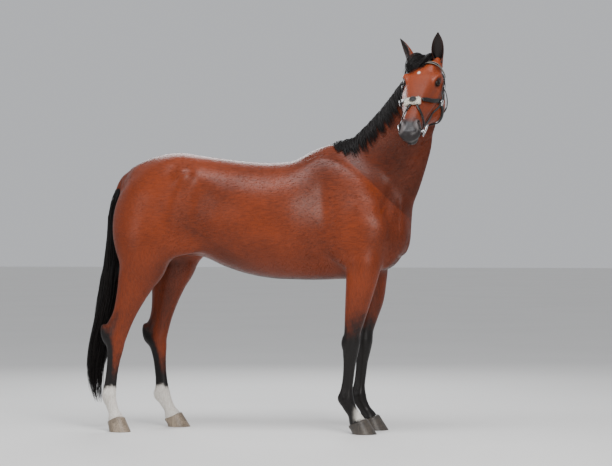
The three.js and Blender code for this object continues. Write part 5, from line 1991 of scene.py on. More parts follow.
@dataclass
class Ear:
    """An ear: a leaf-shaped shell, open to the front, rolled into a tube at its root."""

    BASES = {Side.RIGHT: (0.020, -0.068, -0.026), Side.LEFT: (0.020, 0.068, -0.026)}
    TIPS = {Side.RIGHT: (-0.455, 0.20, 0.87), Side.LEFT: (-0.03, -0.14, 0.99)}
    OPENS = {Side.RIGHT: (-0.93, -0.36, 0.0), Side.LEFT: (0.20, -0.97, 0.0)}
    # share of the length, half width, half depth, wrap in degrees
    SHAPE = ((-0.16, 0.028, 0.027, 176), (0.10, 0.032, 0.030, 150), (0.30, 0.037, 0.028, 118),
             (0.50, 0.038, 0.023, 100), (0.70, 0.032, 0.017, 92), (0.87, 0.019, 0.010, 86),
             (1.00, 0.004, 0.0035, 80))
    side: Side
    length: float = 0.172
    wall: float = 0.0045
    inset: float = 0.0015
    bow: float = 0.008
    rows: int = 34
    columns: int = 13

    def __post_init__(self) -> None:
        """Places the ear on its side of the head."""
        opens = np.array(self.OPENS[self.side])
        self.up = unit(self.TIPS[self.side])
        self.open = unit(opens - np.dot(opens, self.up) * self.up)
        self.across = np.cross(self.up, self.open)
        self.root = HEAD.at(*self.BASES[self.side])

    def mesh(self) -> tuple[Array, list, dict[str, Array]]:
        """Builds the shell with its markings and painted shade.

        Returns:
            The vertices, the faces and the values of each attribute.
        """
        table = np.array(self.SHAPE, float)
        share = np.linspace(table[0, 0], table[-1, 0], self.rows)
        smooth = np.array([np.interp(share, table[:, 0], table[:, c]) for c in (1, 2, 3)])
        kernel = np.array((0.25, 0.5, 0.25))
        for _ in range(3):
            padded = np.pad(smooth, ((0, 0), (1, 1)), mode="edge")
            smooth = np.array([np.convolve(row, kernel, "valid") for row in padded])
        wide, deep, wrap = smooth - np.array([[self.inset], [self.inset], [0]])
        turn = np.linspace(-1, 1, self.columns)
        angle = np.radians(wrap)[:, None] * turn[None]
        bow = self.bow * np.clip(share, 0, 1) ** 2 * (-1 if self.side is Side.RIGHT else 1)
        centre = self.root + np.outer(share * self.length, self.up) + np.outer(bow, self.across)

        def arc(width: Array, depth: Array) -> Array:
            """The wall's line in each row, at its width and depth."""
            return (centre[:, None] + (np.sin(angle) * width[:, None])[..., None] * self.across
                    - (np.cos(angle) * depth[:, None])[..., None] * self.open)

        wall = np.minimum(self.wall, deep * 0.5)[:, None]
        edge = np.sqrt(np.clip(1 - np.abs(turn) ** 6, 0.02, 1))[None]
        outer = arc(wide, deep)
        inward = unit(centre[:, None] + 0.0 * outer - outer)
        inner = outer + inward * (wall * edge)[..., None]
        rings = np.concatenate([outer, inner[:, ::-1]], axis=1)
        vertices, faces = loft(rings)
        rows = np.repeat(share, rings.shape[1])
        turns = np.tile(np.concatenate([turn, turn[::-1]]), len(share))
        inside = np.tile(np.repeat((0.0, 1.0), self.columns), len(share))
        ragged = 0.08 * ripple(vertices, 60.0, 21)
        rim = ease(np.abs(turns) + ragged, 0.72, 0.92)
        tip = ease(rows + ragged, 0.72, 0.92)
        count = len(vertices)
        marks = {
            "black": np.clip(np.maximum(np.maximum(rim, tip) * 0.92, 0.93 * inside), 0, 1),
            "white": np.zeros(count), "grey": 0.10 * inside * (1 - rim),
            "pale": 0.03 * inside * (1 - tip), "drop": np.ones(count),
            # painted shade deep in the cup of the ear
            "shade": 1 - 0.70 * inside * ease(np.abs(turns), 0.9, 0.3),
            "length": np.where(inside > 0, 0.012, 0.008),
            "thick": np.where(inside > 0, 0.5 + 0.5 * ease(np.abs(turns), 0.4, 0.8), 0.9),
            "lie": np.tile(self.up, (count, 1)),
            "flat": np.stack([0.84 + 0.14 * np.clip(rows, 0, 1),
                              (0.25 if self.side is Side.RIGHT else 0.75) + 0.2 * turns,
                              np.zeros(count)], axis=1),
        }
        return vertices, faces, marks


@dataclass
class Skin:
    """The single skin over trunk, neck, head, legs and ears."""

    NODES = ("trunk", "neck", "head", "ear_right", "ear_left")
    anatomy: Anatomy
    coat: Coat
    finishes: Finishes
    body_step: float = 0.0108
    head_step: float = 0.0050
    head_box: tuple[Place, Place] = ((0.845, -0.745, 1.605), (1.150, -0.175, 2.160))
    reach: tuple = ((-0.96, 0.93), (-0.755, 0.33), (0.046, 2.17))
    close: float = 0.036

    def __post_init__(self) -> None:
        """Gathers the forms that the skin covers."""
        anatomy = self.anatomy
        forms = [*anatomy.body(), anatomy.dock(), *anatomy.folds(), *anatomy.features(),
                 *anatomy.lids()]
        self.flesh = Flesh(forms, COAT_DEPTH)
        self.vertices = np.zeros((0, 3))
        self.faces: list = []
        self.marks: dict[str, Array] = {}

    def net(self) -> bpy.types.Object:
        """Meshes the flesh, closely on the head, and halves the faces round its openings.

        Returns:
            The net, as an object.
        """
        low, high = self.head_box
        axes = [graded(self.reach[i][0], max(self.reach[i][1], high[i] + 0.01), self.body_step,
                       (low[i], high[i]), self.head_step) for i in range(3)]
        vertices, quads = surface_net(axes, self.flesh.field(axes))
        vertices = self.flesh.settle(vertices, rounds=1)
        made = new_object("skin_net", vertices, quads, moved=False)
        mesh = bmesh.new()
        mesh.from_mesh(made.data)
        places = np.array([v.co for v in mesh.verts])
        close = np.zeros(len(places), bool)
        for spot, radius in self.close_spots():
            close |= np.linalg.norm(places - spot, axis=1) < radius
        edges = [e for e in mesh.edges if close[e.verts[0].index] and close[e.verts[1].index]]
        bmesh.ops.subdivide_edges(mesh, edges=edges, cuts=1, use_grid_fill=True)
        mesh.to_mesh(made.data)
        mesh.free()
        return made

    def close_spots(self) -> list[tuple[Array, float]]:
        """Places on the head that need closer faces, each with its radius.

        Returns:
            Each place with its radius.
        """
        spots = []
        for side in Side:
            s = side.value
            spots.append((HEAD.at(*np.array(EYE_FRONT) * (1, s, 1)), self.close))
            spots.append((HEAD.at(*NOSTRILS[side][1]), self.close * 0.9))
        return spots

    def shape(self) -> None:
        """Builds the skin's vertices, faces, markings and painted shade, ears included."""
        made = self.net()
        count = len(made.data.vertices)
        flat = np.empty(count * 3, np.float32)
        made.data.vertices.foreach_get("co", flat)
        vertices = self.flesh.settle(flat.reshape(-1, 3).astype(float), rounds=2)
        faces = [tuple(p.vertices) for p in made.data.polygons]
        mesh = made.data
        bpy.data.objects.remove(made)
        bpy.data.meshes.remove(mesh)
        coat = self.coat
        regions = coat.regions(vertices)
        grey, pale = coat.grey(vertices, regions)
        length, thick = coat.length(vertices, regions)
        plain = coat.unwrap(vertices, regions)
        plain[regions == Region.HEAD.value, 0] *= 0.8
        legs = np.isin(regions, (Region.FORELEGS.value, Region.HINDLEGS.value))
        marks = {
            "black": coat.black(vertices), "white": coat.white(vertices), "grey": grey,
            "pale": pale, "shade": coat.shade(vertices, regions), "length": length,
            "thick": thick, "drop": np.where(legs, 1.0, ease(vertices[:, 2], 1.1, 0.95)),
            "lie": coat.lie(vertices, regions),
            "flat": np.hstack([plain, np.zeros((len(plain), 1))]),
        }
        marks["drop"] = np.where(regions == Region.HEAD.value, 0.6, marks["drop"])
        parts = [(vertices, faces)]
        all_regions = [regions]
        for side in Side:
            spots, corners, values = Ear(side).mesh()
            parts.append((spots, corners))
            all_regions.append(np.full(len(spots), Region.HEAD.value))
            marks = {name: np.concatenate([marks[name], values[name]]) for name in marks}
        self.vertices, self.faces = joined(parts)
        self.regions = np.concatenate(all_regions)
        self.marks = marks

    def dress(self) -> bpy.types.Object:
        """Makes the skin's object and gives it its finish.

        Returns:
            The skin.
        """
        made = new_object("skin", self.vertices, self.faces)
        for name in ("black", "white", "grey", "pale", "shade", "drop"):
            give(made, name, self.marks[name])
        outward(made)
        made.data.materials.append(self.finishes["skin"])
        legs = [f"{leg.value}leg_{side.label}_{part}" for leg, parts in
                ((Legs.FORE, ("upper", "lower")), (Legs.HIND, ("upper", "lower", "pastern")))
                for side in Side for part in parts]
        settle_piece(made, "coat", (*self.NODES, *legs))
        return made

    def patch(self, region: Region) -> bpy.types.Object:
        """The skin of one region as an object of its own, with its markings and painted shade.

        Args:
            region: The region.

        Returns:
            The patch.
        """
        of_region = self.regions == region.value
        faces = [f for f in self.faces if of_region[f[0]]]
        used = np.unique(np.concatenate([np.asarray(f) for f in faces]))
        renumber = np.full(len(self.vertices), -1)
        renumber[used] = np.arange(len(used))
        made = new_object("coat_patch", self.vertices[used],
                          [tuple(renumber[list(f)]) for f in faces])
        for name, values in self.marks.items():
            kind = "FLOAT_VECTOR" if values.ndim == 2 else "FLOAT"
            give(made, name, values[used], kind)
        return made


def settle_piece(made: bpy.types.Object, slot: str, nodes: Sequence[str] = ()) -> None:
    """Rides a finished piece on the horse, hides the solids that it replaces and logs its
    triangles.

    Args:
        made: The piece.
        slot: The record's material slot for the piece; not used.
        nodes: The solids that it replaces.
    """
    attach(made, "root")
    if nodes:
        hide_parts(*nodes)
    faces = sum(len(p.vertices) - 2 for p in made.data.polygons)
    LOG.info("%s: %d triangles", made.name, faces)


@dataclass
class TuftCoat:
    """The short coat, in a piece of tufts for each region."""

    skin: Skin
    finishes: Finishes
    counts: dict = field(default_factory=lambda: {
        Region.HEAD: 11500, Region.NECK: 13000, Region.TRUNK_RIGHT: 17500,
        Region.TRUNK_LEFT: 17500, Region.FORELEGS: 9500, Region.HINDLEGS: 13500})
    widths: dict = field(default_factory=lambda: {
        Region.HEAD: 0.0010, Region.NECK: 0.0018, Region.TRUNK_RIGHT: 0.0019,
        Region.TRUNK_LEFT: 0.0019, Region.FORELEGS: 0.0016, Region.HINDLEGS: 0.0017})
    thickness: float = 0.16
    tilt: float = 0.016
    turn: float = 0.16

    def build(self) -> None:
        """Grows and finishes the tufts of every region."""
        tree = TuftTree()
        for region, count in self.counts.items():
            host = self.skin.patch(region)
            density = count / max(self.cover(host), 1e-6)
            width = self.widths[region]
            made = tree.run(host, f"coat_{region.name.lower()}", {
                "Density": density, "Width": width, "Thickness": width * self.thickness,
                "Tilt": self.tilt, "Turn": self.turn, "Seed": 5 + region.value,
                "Material": self.finishes["tufts"]})
            drop(made, ("thick", "length", "lie", "flat", "spot"))
            settle_piece(made, "coat")

    def cover(self, host: bpy.types.Object) -> float:
        """The area of a patch, counted by how thick its coat stands.

        Args:
            host: The patch.

        Returns:
            The area in square metres.
        """
        mesh = host.data
        area = np.empty(len(mesh.polygons), np.float32)
        mesh.polygons.foreach_get("area", area)
        thick = np.empty(len(mesh.vertices), np.float32)
        mesh.attributes["thick"].data.foreach_get("value", thick)
        return float(sum(a * thick[list(p.vertices)].mean()
                         for a, p in zip(area, mesh.polygons)))


# ---- long hair ---------------------------------------------------------------------------


@dataclass
class Locks:
    """Locks of hair: their paths, radii, tones and roots on the skin's map."""

    paths: Array
    radii: Array
    tones: Array
    roots: Array

    def host(self, name: str) -> bpy.types.Object:
        """The paths as a mesh of edges with their attributes.

        Args:
            name: The name of the object.

        Returns:
            The paths, as an object.
        """
        count, steps = self.paths.shape[:2]
        start = np.arange(count)[:, None] * steps + np.arange(steps - 1)[None]
        edges = np.stack([start, start + 1], axis=2).reshape(-1, 2)
        made = new_object(name, self.paths.reshape(-1, 3), edges=edges)
        give(made, "radius", self.radii)
        give(made, "tone", np.repeat(self.tones, steps))
        give(made, "along", np.tile(np.linspace(0, 1, steps), count))
        flat = np.repeat(np.hstack([self.roots, np.zeros((count, 1))]), steps, axis=0)
        give(made, "flat", flat, "FLOAT_VECTOR")
        return made

    @staticmethod
    def taper(count: int, steps: int, radius: float, rng: np.random.Generator) -> Array:
        """Radii that swell from the root and run out at the tip.

        Args:
            count: How many there are.
            steps: The places along each.
            radius: The usual radius.
            rng: Draws the differences.

        Returns:
            The radii by lock and step.
        """
        share = np.linspace(0, 1, steps)
        shape = np.clip(0.55 + 1.6 * share, 0, 1) * np.clip((1.02 - share) / 0.5, 0.04, 1) ** 0.8
        return radius * rng.uniform(0.65, 1.3, (count, 1)) * shape[None]


@dataclass
class Mane:
    """The mane, lying on the right of the neck."""

    anatomy: Anatomy
    flesh: Flesh
    count: int = 1500
    steps: int = 11
    first: float = 0.19
    last: float = 0.975
    fall: tuple[float, float] = (0.125, 0.185)
    lean: float = 0.45
    radius: float = 0.0023
    start_angle: float = -16.0

    def build(self) -> Locks:
        """Lays the locks from the crest down the neck.

        Returns:
            The locks.
        """
        rng = np.random.default_rng(41)
        neck, count, steps = self.anatomy.neck, self.count, self.steps
        share = rng.uniform(self.first, self.last, count)
        spread = len(neck.centre) - 1
        tube_length = np.linalg.norm(np.diff(neck.centre, axis=0), axis=1).sum()
        clump = np.sin(share * 210.0 + 1.3) * 0.5 + np.sin(share * 87.0) * 0.5
        fall = rng.uniform(*self.fall, count) * (1 + 0.06 * clump)
        fall *= 0.45 + 0.55 * ease(share, self.first - 0.02, self.first + 0.20)
        fall *= 1 - 0.22 * ease(share, 0.80, 0.97)
        t = np.linspace(0, 1, steps)
        wave = 0.006 * np.sin(t[None] * rng.uniform(2.5, 5.0, (count, 1))
                              + rng.uniform(0, 6.3, (count, 1))) * t[None]
        down = fall[:, None] * t[None]
        sweep = self.lean * down * (1 + 0.25 * clump[:, None]) + wave
        at = np.clip(share[:, None] * spread - sweep / tube_length * spread, 0, spread)
        row = neck.row(at.ravel())
        along = unit(row[:, 3:6])
        crest = unit(row[:, 6:9] - (row[:, 6:9] * along).sum(1, keepdims=True) * along)
        right = np.cross(along, crest)
        begin = rng.uniform(self.start_angle, 8.0, count)[:, None]
        girth = (0.55 * row[:, 9] + 0.45 * row[:, 11]).reshape(count, steps)
        angle = np.radians(begin) + down / girth
        angle = angle.ravel()[:, None]
        base = (row[:, :3] + crest * np.cos(angle) * row[:, 9:10]
                + right * np.sin(angle) * row[:, 11:12] * 1.12)
        layer = rng.uniform(0.0, 1.0, (count, 1))
        lift = 0.001 + (0.004 + 0.015 * layer) * np.sin(np.clip(t, 0, 1)[None] * 2.6) ** 0.8
        paths = self.flesh.settle(base, lift.ravel(), rounds=3).reshape(count, steps, 3)
        roots = neck.unwrap(paths[:, 0])
        return Locks(paths, Locks.taper(count, steps, self.radius, rng),
                     rng.uniform(0, 1, count), roots)


@dataclass
class Forelock:
    """The forelock, falling from between the ears over the browband."""

    flesh: Flesh
    count: int = 560
    steps: int = 13
    radius: float = 0.0015
    # along the face, left, out, lift, width
    PATH = ((-0.040, 0.020, 0.004, 0.004, 0.060), (-0.016, 0.014, 0.008, 0.026, 0.080),
            (0.012, 0.000, 0.010, 0.034, 0.086), (0.044, -0.026, 0.006, 0.026, 0.076),
            (0.080, -0.048, -0.002, 0.019, 0.060), (0.112, -0.064, -0.012, 0.013, 0.042),
            (0.142, -0.076, -0.022, 0.007, 0.022))

    def build(self) -> Locks:
        """Lays the locks side by side and over each other.

        Returns:
            The locks.
        """
        rng = np.random.default_rng(42)
        count, steps = self.count, self.steps
        table = np.array(self.PATH)
        reach = rng.uniform(0.62, 1.05, (count, 1))
        t = np.clip(np.linspace(0, 1, steps)[None] * reach, 0, 1) * (len(table) - 1)
        row = np.stack([np.interp(t.ravel(), np.arange(len(table)), table[:, c])
                        for c in range(5)], axis=1)
        across = rng.uniform(-0.5, 0.5, (count, 1))
        layer = rng.uniform(-3.2, 1.0, (count, 1))
        wave = 0.004 * np.sin(np.linspace(0, 5, steps)[None] + rng.uniform(0, 6.3, (count, 1)))
        stray = rng.normal(0, 0.011, (count, 1)) * np.linspace(-0.3, 1.6, steps)[None]
        side = (across * row[:, 4].reshape(count, steps) + wave + stray).ravel()
        spots = np.array([HEAD.at(s + 0.35 * o, l + 0.9 * o, d)
                          for (s, l, d), o in zip(row[:, :3], side)])
        lift = row[:, 3] + (layer * 0.006 * np.ones(steps)[None]).ravel()
        paths = self.flesh.settle(spots, lift, rounds=3).reshape(count, steps, 3)
        flat = np.stack([0.05 + 0.1 * rng.random(count), 0.5 + 0.2 * across[:, 0]], axis=1)
        return Locks(paths, Locks.taper(count, steps, self.radius, rng),
                     rng.uniform(0, 0.6, count), flat)


@dataclass
class Tail:
    """The tail: a dark core and locks that hang from the dock."""

    anatomy: Anatomy
    count: int = 900
    steps: int = 19
    radius: float = 0.0034
    tops: tuple[float, float] = (1.27, 1.505)
    full: float = 0.75
    long_ends: tuple[float, float] = (0.15, 0.34)
    short_ends: tuple[float, float] = (0.34, 0.75)
    # middle X, middle Z, reach along X, reach along Y
    SECTIONS = ((-0.800, 1.505, 0.026, 0.026), (-0.828, 1.462, 0.034, 0.036),
                (-0.852, 1.380, 0.040, 0.044), (-0.872, 1.260, 0.044, 0.050),
                (-0.876, 1.120, 0.047, 0.056), (-0.886, 0.960, 0.050, 0.062),
                (-0.912, 0.826, 0.056, 0.066), (-0.942, 0.690, 0.060, 0.068),
                (-0.964, 0.530, 0.060, 0.066), (-0.984, 0.372, 0.052, 0.056),
                (-0.984, 0.254, 0.040, 0.042), (-0.974, 0.140, 0.020, 0.022))

    def at(self, z: Array, turn: Array, share: Array) -> Array:
        """Places in the tail by height, turn about its middle and share of its reach.

        Args:
            z: Heights.
            turn: Turns about the middle.
            share: Shares of the reach.

        Returns:
            The places.
        """
        table = np.array(self.SECTIONS)[::-1]
        x, along, across = (np.interp(z, table[:, 1], table[:, c]) for c in (0, 2, 3))
        return np.stack([x + np.cos(turn) * along * share, np.sin(turn) * across * share, z],
                        axis=-1)

    def build(self) -> Locks:
        """Hangs the locks from the dock.

        Returns:
            The locks.
        """
        rng = np.random.default_rng(43)
        count, steps = self.count, self.steps
        turn = rng.uniform(0, 2 * math.pi, count)[:, None]
        share = np.sqrt(rng.uniform(0.30, 1.0, count))[:, None]
        top = rng.uniform(*self.tops, count)[:, None]
        end = np.where(rng.random(count) < self.full, rng.uniform(*self.long_ends, count),
                       rng.uniform(*self.short_ends, count))[:, None]
        t = np.linspace(0, 1, steps)[None]
        z = top + (end - top) * t**1.05
        spread = ease(t, 0.0, 0.16)
        phase = rng.uniform(0, 6.3, (count, 1))
        wave = 0.10 * np.sin(t * rng.uniform(5, 9, (count, 1)) + phase) * t
        wide = share * (0.35 + 0.65 * spread) * (1 + 0.10 * np.sin(t * 7 + phase))
        wide *= 1 - 0.30 * ease(t, 0.82, 1.0) * rng.random((count, 1))
        paths = self.at(z, turn + wave + 0.12 * np.sin(z * 9), np.clip(wide, 0, 1.0))
        strand = rng.uniform(0, 1.6, (count, 1))
        paths[..., 0] += 0.012 * np.sin(z * 9.5 + 1.0 + strand) * ease(z, 1.2, 0.9)
        paths[..., 1] += 0.012 * np.sin(z * 7.0 + 0.4 + strand) * ease(z, 1.2, 0.9)
        roots = np.stack([0.04 + 0.9 * (1.51 - top[:, 0]) / 0.25,
                          turn[:, 0] / (2 * math.pi)], axis=1)
        return Locks(paths, Locks.taper(count, steps, self.radius, rng),
                     rng.uniform(0, 1, count), np.clip(roots, 0.02, 0.98))

    def core(self) -> tuple[Array, list]:
        """A dark body inside the locks, so that nothing shows between them.

        Returns:
            The vertices and faces.
        """
        z = np.linspace(1.50, 0.34, 34)[:, None]
        turn = np.linspace(0, 2 * math.pi, 24, endpoint=False)[None]
        share = (0.72 * ease(z, 0.30, 0.62) + 0.12) * (0.15 + 0.85 * ease(z, 1.50, 1.40))
        rings = self.at(z + 0 * turn, turn + 0 * z, share + 0 * turn)
        return loft(rings[:, ::-1])


@dataclass
class Whiskers:
    """Long single hairs on the muzzle, chin and round the eyes."""

    flesh: Flesh
    muzzle_count: int = 70
    muzzle_length: float = 0.045
    eye_count: int = 9
    eye_length: float = 0.040
    steps: int = 7
    radius: float = 0.00042
    droop: float = 0.25
    stray: float = 0.35

    def build(self) -> Locks:
        """Sets the hairs out from the skin.

        Returns:
            The hairs, as thin locks.
        """
        rng = np.random.default_rng(44)
        starts = []
        for _ in range(self.muzzle_count):
            s, l = rng.uniform(0.50, 0.63), rng.uniform(-0.045, 0.045)
            starts.append((HEAD.at(s, l, rng.uniform(-0.16, -0.09)), self.muzzle_length))
        for side in Side:
            for _ in range(self.eye_count):
                starts.append((HEAD.at(rng.uniform(0.12, 0.21), side.value * 0.118,
                                       rng.uniform(-0.085, -0.070)), self.eye_length))
        base = self.flesh.settle(np.array([s for s, _ in starts]), 0.0, rounds=4)
        _, slope = self.flesh.slope(base)
        out = unit(unit(slope) + self.stray * rng.normal(size=base.shape)
                   + self.stray * HEAD.along)
        count = len(base)
        reach = np.array([r for _, r in starts])[:, None, None]
        reach = reach * rng.uniform(0.5, 1, (count, 1, 1))
        share = np.linspace(0, 1, self.steps)
        t = share[None, :, None]
        droop = np.array((0, 0, -self.droop)) * t**2
        paths = base[:, None] + reach * (out[:, None] * t + droop)
        radii = self.radius * np.tile(np.clip(1.05 - share, 0.15, 1), (count, 1))
        flat = np.stack([0.7 + 0.05 * rng.random(count), rng.uniform(0.3, 0.7, count)], axis=1)
        return Locks(paths, radii, rng.uniform(0, 1, count), flat)


@dataclass
class LongHair:
    """Makes the mane, forelock, tail and whiskers as pieces."""

    anatomy: Anatomy
    flesh: Flesh
    finishes: Finishes

    def __post_init__(self) -> None:
        """Builds the tree that every lock is made with."""
        self.tree = LockTree()

    def grow(self, locks: Locks, name: str, sides: int, flatness: float) -> bpy.types.Object:
        """Turns locks into a mesh.

        Args:
            locks: The locks.
            name: The name of the piece.
            sides: How many faces go round it.
            flatness: The share of its depth that a lock keeps.

        Returns:
            The piece.
        """
        made = self.tree.run(locks.host(f"{name}_paths"), name, {
            "Sides": sides, "Flatness": flatness, "Material": self.finishes["hair"]})
        drop(made, ("radius", "around", "flat"))
        return made

    def build(self) -> None:
        """Builds every piece of long hair."""
        mane = self.grow(Mane(self.anatomy, self.flesh).build(), "mane_locks", 5, 0.55)
        settle_piece(mane, "hair_black", ("mane",))
        forelock = self.grow(Forelock(self.flesh).build(), "forelock_locks", 5, 0.6)
        settle_piece(forelock, "hair_black", ("forelock",))
        tail = Tail(self.anatomy)
        locks = self.grow(tail.build(), "tail_locks", 5, 0.6)
        settle_piece(locks, "hair_black", ("tail",))
        vertices, faces = tail.core()
        core = new_object("tail_core", vertices, faces)
        give(core, "tone", np.zeros(len(vertices)))
        give(core, "along", np.zeros(len(vertices)))
        outward(core)
        core.data.materials.append(self.finishes["hair"])
        settle_piece(core, "hair_black")
        whiskers = self.grow(Whiskers(self.flesh).build(), "whiskers", 3, 1.0)
        settle_piece(whiskers, "hair_black")


# ---- eyes and hooves ---------------------------------------------------------------------


@dataclass
class Eyes:
    """The two eyeballs, each with a slightly raised clear front."""

    finishes: Finishes
    radius: float = 0.0225
    rings: int = 30
    segments: int = 40

    def build(self) -> None:
        """Makes both eyes."""
        for side in Side:
            gaze = Gaze(side)
            centre, out, wide, high = gaze.centre, gaze.out, gaze.wide, gaze.high
            dip = np.linspace(0.02, math.pi - 0.02, self.rings)[:, None, None]
            turn = around(self.segments)[None, :, None]
            ways = (np.cos(dip) * out + np.sin(dip)
                    * (np.cos(turn) * wide + np.sin(turn) * high))
            bulge = 1 + 0.035 * np.exp(-(dip / 0.55) ** 2)
            vertices, faces = loft(centre + ways * bulge * self.radius)
            made = new_object(f"eyeball_{side.label}", vertices, faces)
            local = (vertices - centre) / self.radius
            give(made, "gaze", np.stack([local @ wide, local @ high, local @ out], axis=1),
                 "FLOAT_VECTOR")
            outward(made)
            made.data.materials.append(self.finishes["eye"])
            settle_piece(made, "eye", (f"eye_{side.label}",))


@dataclass
class Hooves:
    """The four hooves: a ringed wall, heel bulbs and a flat rim to stand on."""

    finishes: Finishes
    segments: int = 72
    levels: int = 22
    tilt: float = 20.0
    coronet: tuple[float, float, float] = (0.0525, 0.0545, 0.0525)
    sole: tuple[float, float, float] = (0.078, 0.066, 0.065)
    sole_centre: float = 0.030
    ring_depth: float = 0.00045

    def build(self) -> None:
        """Makes the hooves."""
        for (leg, side), foot in FEET.items():
            vertices, faces = loft(self.rings(foot))
            made = new_object(f"hoof_{leg.value}_{side.label}", vertices, faces)
            outward(made)
            slot = "hoof_pale" if leg is Legs.HIND else "hoof_dark"
            made.data.materials.append(self.finishes[slot])
            settle_piece(made, slot, (f"{leg.value}leg_{side.label}_hoof",))

    def rings(self, foot: Foot) -> Array:
        """The rings of a hoof from inside the coronet to the middle of its sole.

        Args:
            foot: Where the foot stands.

        Returns:
            The places by ring and step.
        """
        turn = around(self.segments)
        ahead, aside = np.cos(turn), np.sin(turn)
        forward = foot.forward
        left = np.array((-forward[1], forward[0], 0.0))
        place = np.array(foot.place)
        slope = math.tan(math.radians(self.tilt))
        heel = ease(-ahead, 0.55, 0.95)
        cleft = np.exp(-((np.abs(turn - math.pi) / 0.16) ** 2))

        def ring(share: float, swell: float = 0.0, inset: float = 0.0) -> Array:
            """One round of the hoof, at a share of the way down."""
            front, back, side = (a + (b - a) * share for a, b in zip(self.coronet, self.sole))
            centre = self.sole_centre * share
            x = centre + ahead * (np.where(ahead > 0, front, back) + swell - inset)
            y = aside * (side + swell - inset) * (1 - 0.10 * share * ease(-ahead, 0.3, 1.0))
            bulb = 0.006 * heel * math.exp(-((share - 0.22) / 0.22) ** 2)
            x = x - bulb + 0.010 * cleft * (1 - 0.4 * share)
            top = place[2] / foot.scale - 0.001 + ahead * self.coronet[0] * slope
            z = top * (1 - share)
            flat = (x[:, None] * forward + y[:, None] * left) * foot.scale
            return place * (1, 1, 0) + flat + np.stack([0 * z, 0 * z, z * foot.scale], axis=1)

        rings = [ring(-0.06, inset=0.012), ring(-0.055, inset=0.006), ring(-0.02, inset=0.0015)]
        for share in np.linspace(0.02, 0.965, self.levels):
            groove = self.ring_depth * math.cos(share * 55.0) * (1 - share)
            rings.append(ring(share, 0.0012 * math.exp(-(share / 0.10) ** 2) + groove))
        rings.append(ring(0.99))
        for inset, height in ((0.0015, 0.0), (0.012, 0.0), (0.014, 0.003), (0.050, 0.005)):
            last = ring(1.0, inset=inset)
            last[:, 2] = height
            rings.append(last)
        return np.array(rings)


# ---- bridle ------------------------------------------------------------------------------


@dataclass(frozen=True)
class Strap:
    """A strap: its node, its path on the head and its size."""

    node: str
    path: tuple[tuple[float, ...], ...]
    width: float = 0.020
    thick: float = 0.004
    stitched: bool = True
    piped: bool = False
    finish: str = "leather"


LIFT = 2.5
"""How many millimetres a strap lies above the skin where its path says nothing else."""


def mm(*rows: tuple[float, ...]) -> tuple[tuple[float, ...], ...]:
    """Turns rows of millimetres into metres, with the usual lift where a row gives none."""
    return tuple(tuple(v / 1000 for v in (*row, LIFT)[:4]) for row in rows)


def both_ways(half: tuple[tuple[float, ...], ...]) -> tuple[tuple[float, ...], ...]:
    """Carries a path on the left over the middle to the right."""
    return half + tuple((row[0], -row[1], *row[2:]) for row in reversed(half[:-1]))


def on_side(path: tuple[tuple[float, ...], ...], side: Side) -> tuple[tuple[float, ...], ...]:
    """Turns a path on the left into one on the given side."""
    return tuple((row[0], side.value * row[1], *row[2:]) for row in path)


BROWBAND = mm((78, 103, -80, 7.5), (80, 104, -54, 7.5), (82, 95, -24, 4), (76, 60, 3, 3.5),
              (62, 0, 2, 3.5))
CROWNPIECE = mm((90, 101, -94), (66, 97, -96), (34, 92, -94), (4, 84, -88),
                (-26, 64, -70), (-42, 34, -48), (-46, 0, -36))
CHEEKPIECE = mm((96, 101, -95), (139, 108, -94, 3), (180, 107, -102, 3.5),
                (210, 105, -109, 5), (228, 103, -114, 10.4), (278, 95, -126, 10.4),
                (304, 88, -136, 3.5), (360, 74, -146), (428, 60, -138),
                (470, 54, -124))
HEADSTRAP = mm((92, 97, -124), (150, 104, -140), (200, 104, -146),
               (234, 101, -142))
THROATLATCH = mm((40, 94, -116, 6), (72, 99, -148, 8), (108, 98, -196, 10), (134, 92, -244, 11),
                 (150, 56, -290, 12), (154, 0, -306, 12))
NOSEBAND_UPPER = mm((364, 38, -20), (342, 59, -38), (322, 74, -60),
                    (286, 92, -87), (250, 101, -116), (242, 94, -170),
                    (256, 70, -228), (268, 40, -262), (272, 0, -272))
NOSEBAND_LOWER = mm((410, 17, -19), (438, 32, -30), (460, 46, -46),
                    (482, 55, -70), (498, 52, -106), (504, 46, -142),
                    (504, 26, -164), (504, 0, -170))
NOSE_PAD = mm((381, 32, -16, 1.2), (386, 6, -4, 1.2), (386, -14, -4, 1.2), (383, -34, -14, 1.2),
              (378, -54, -30, 1.2))


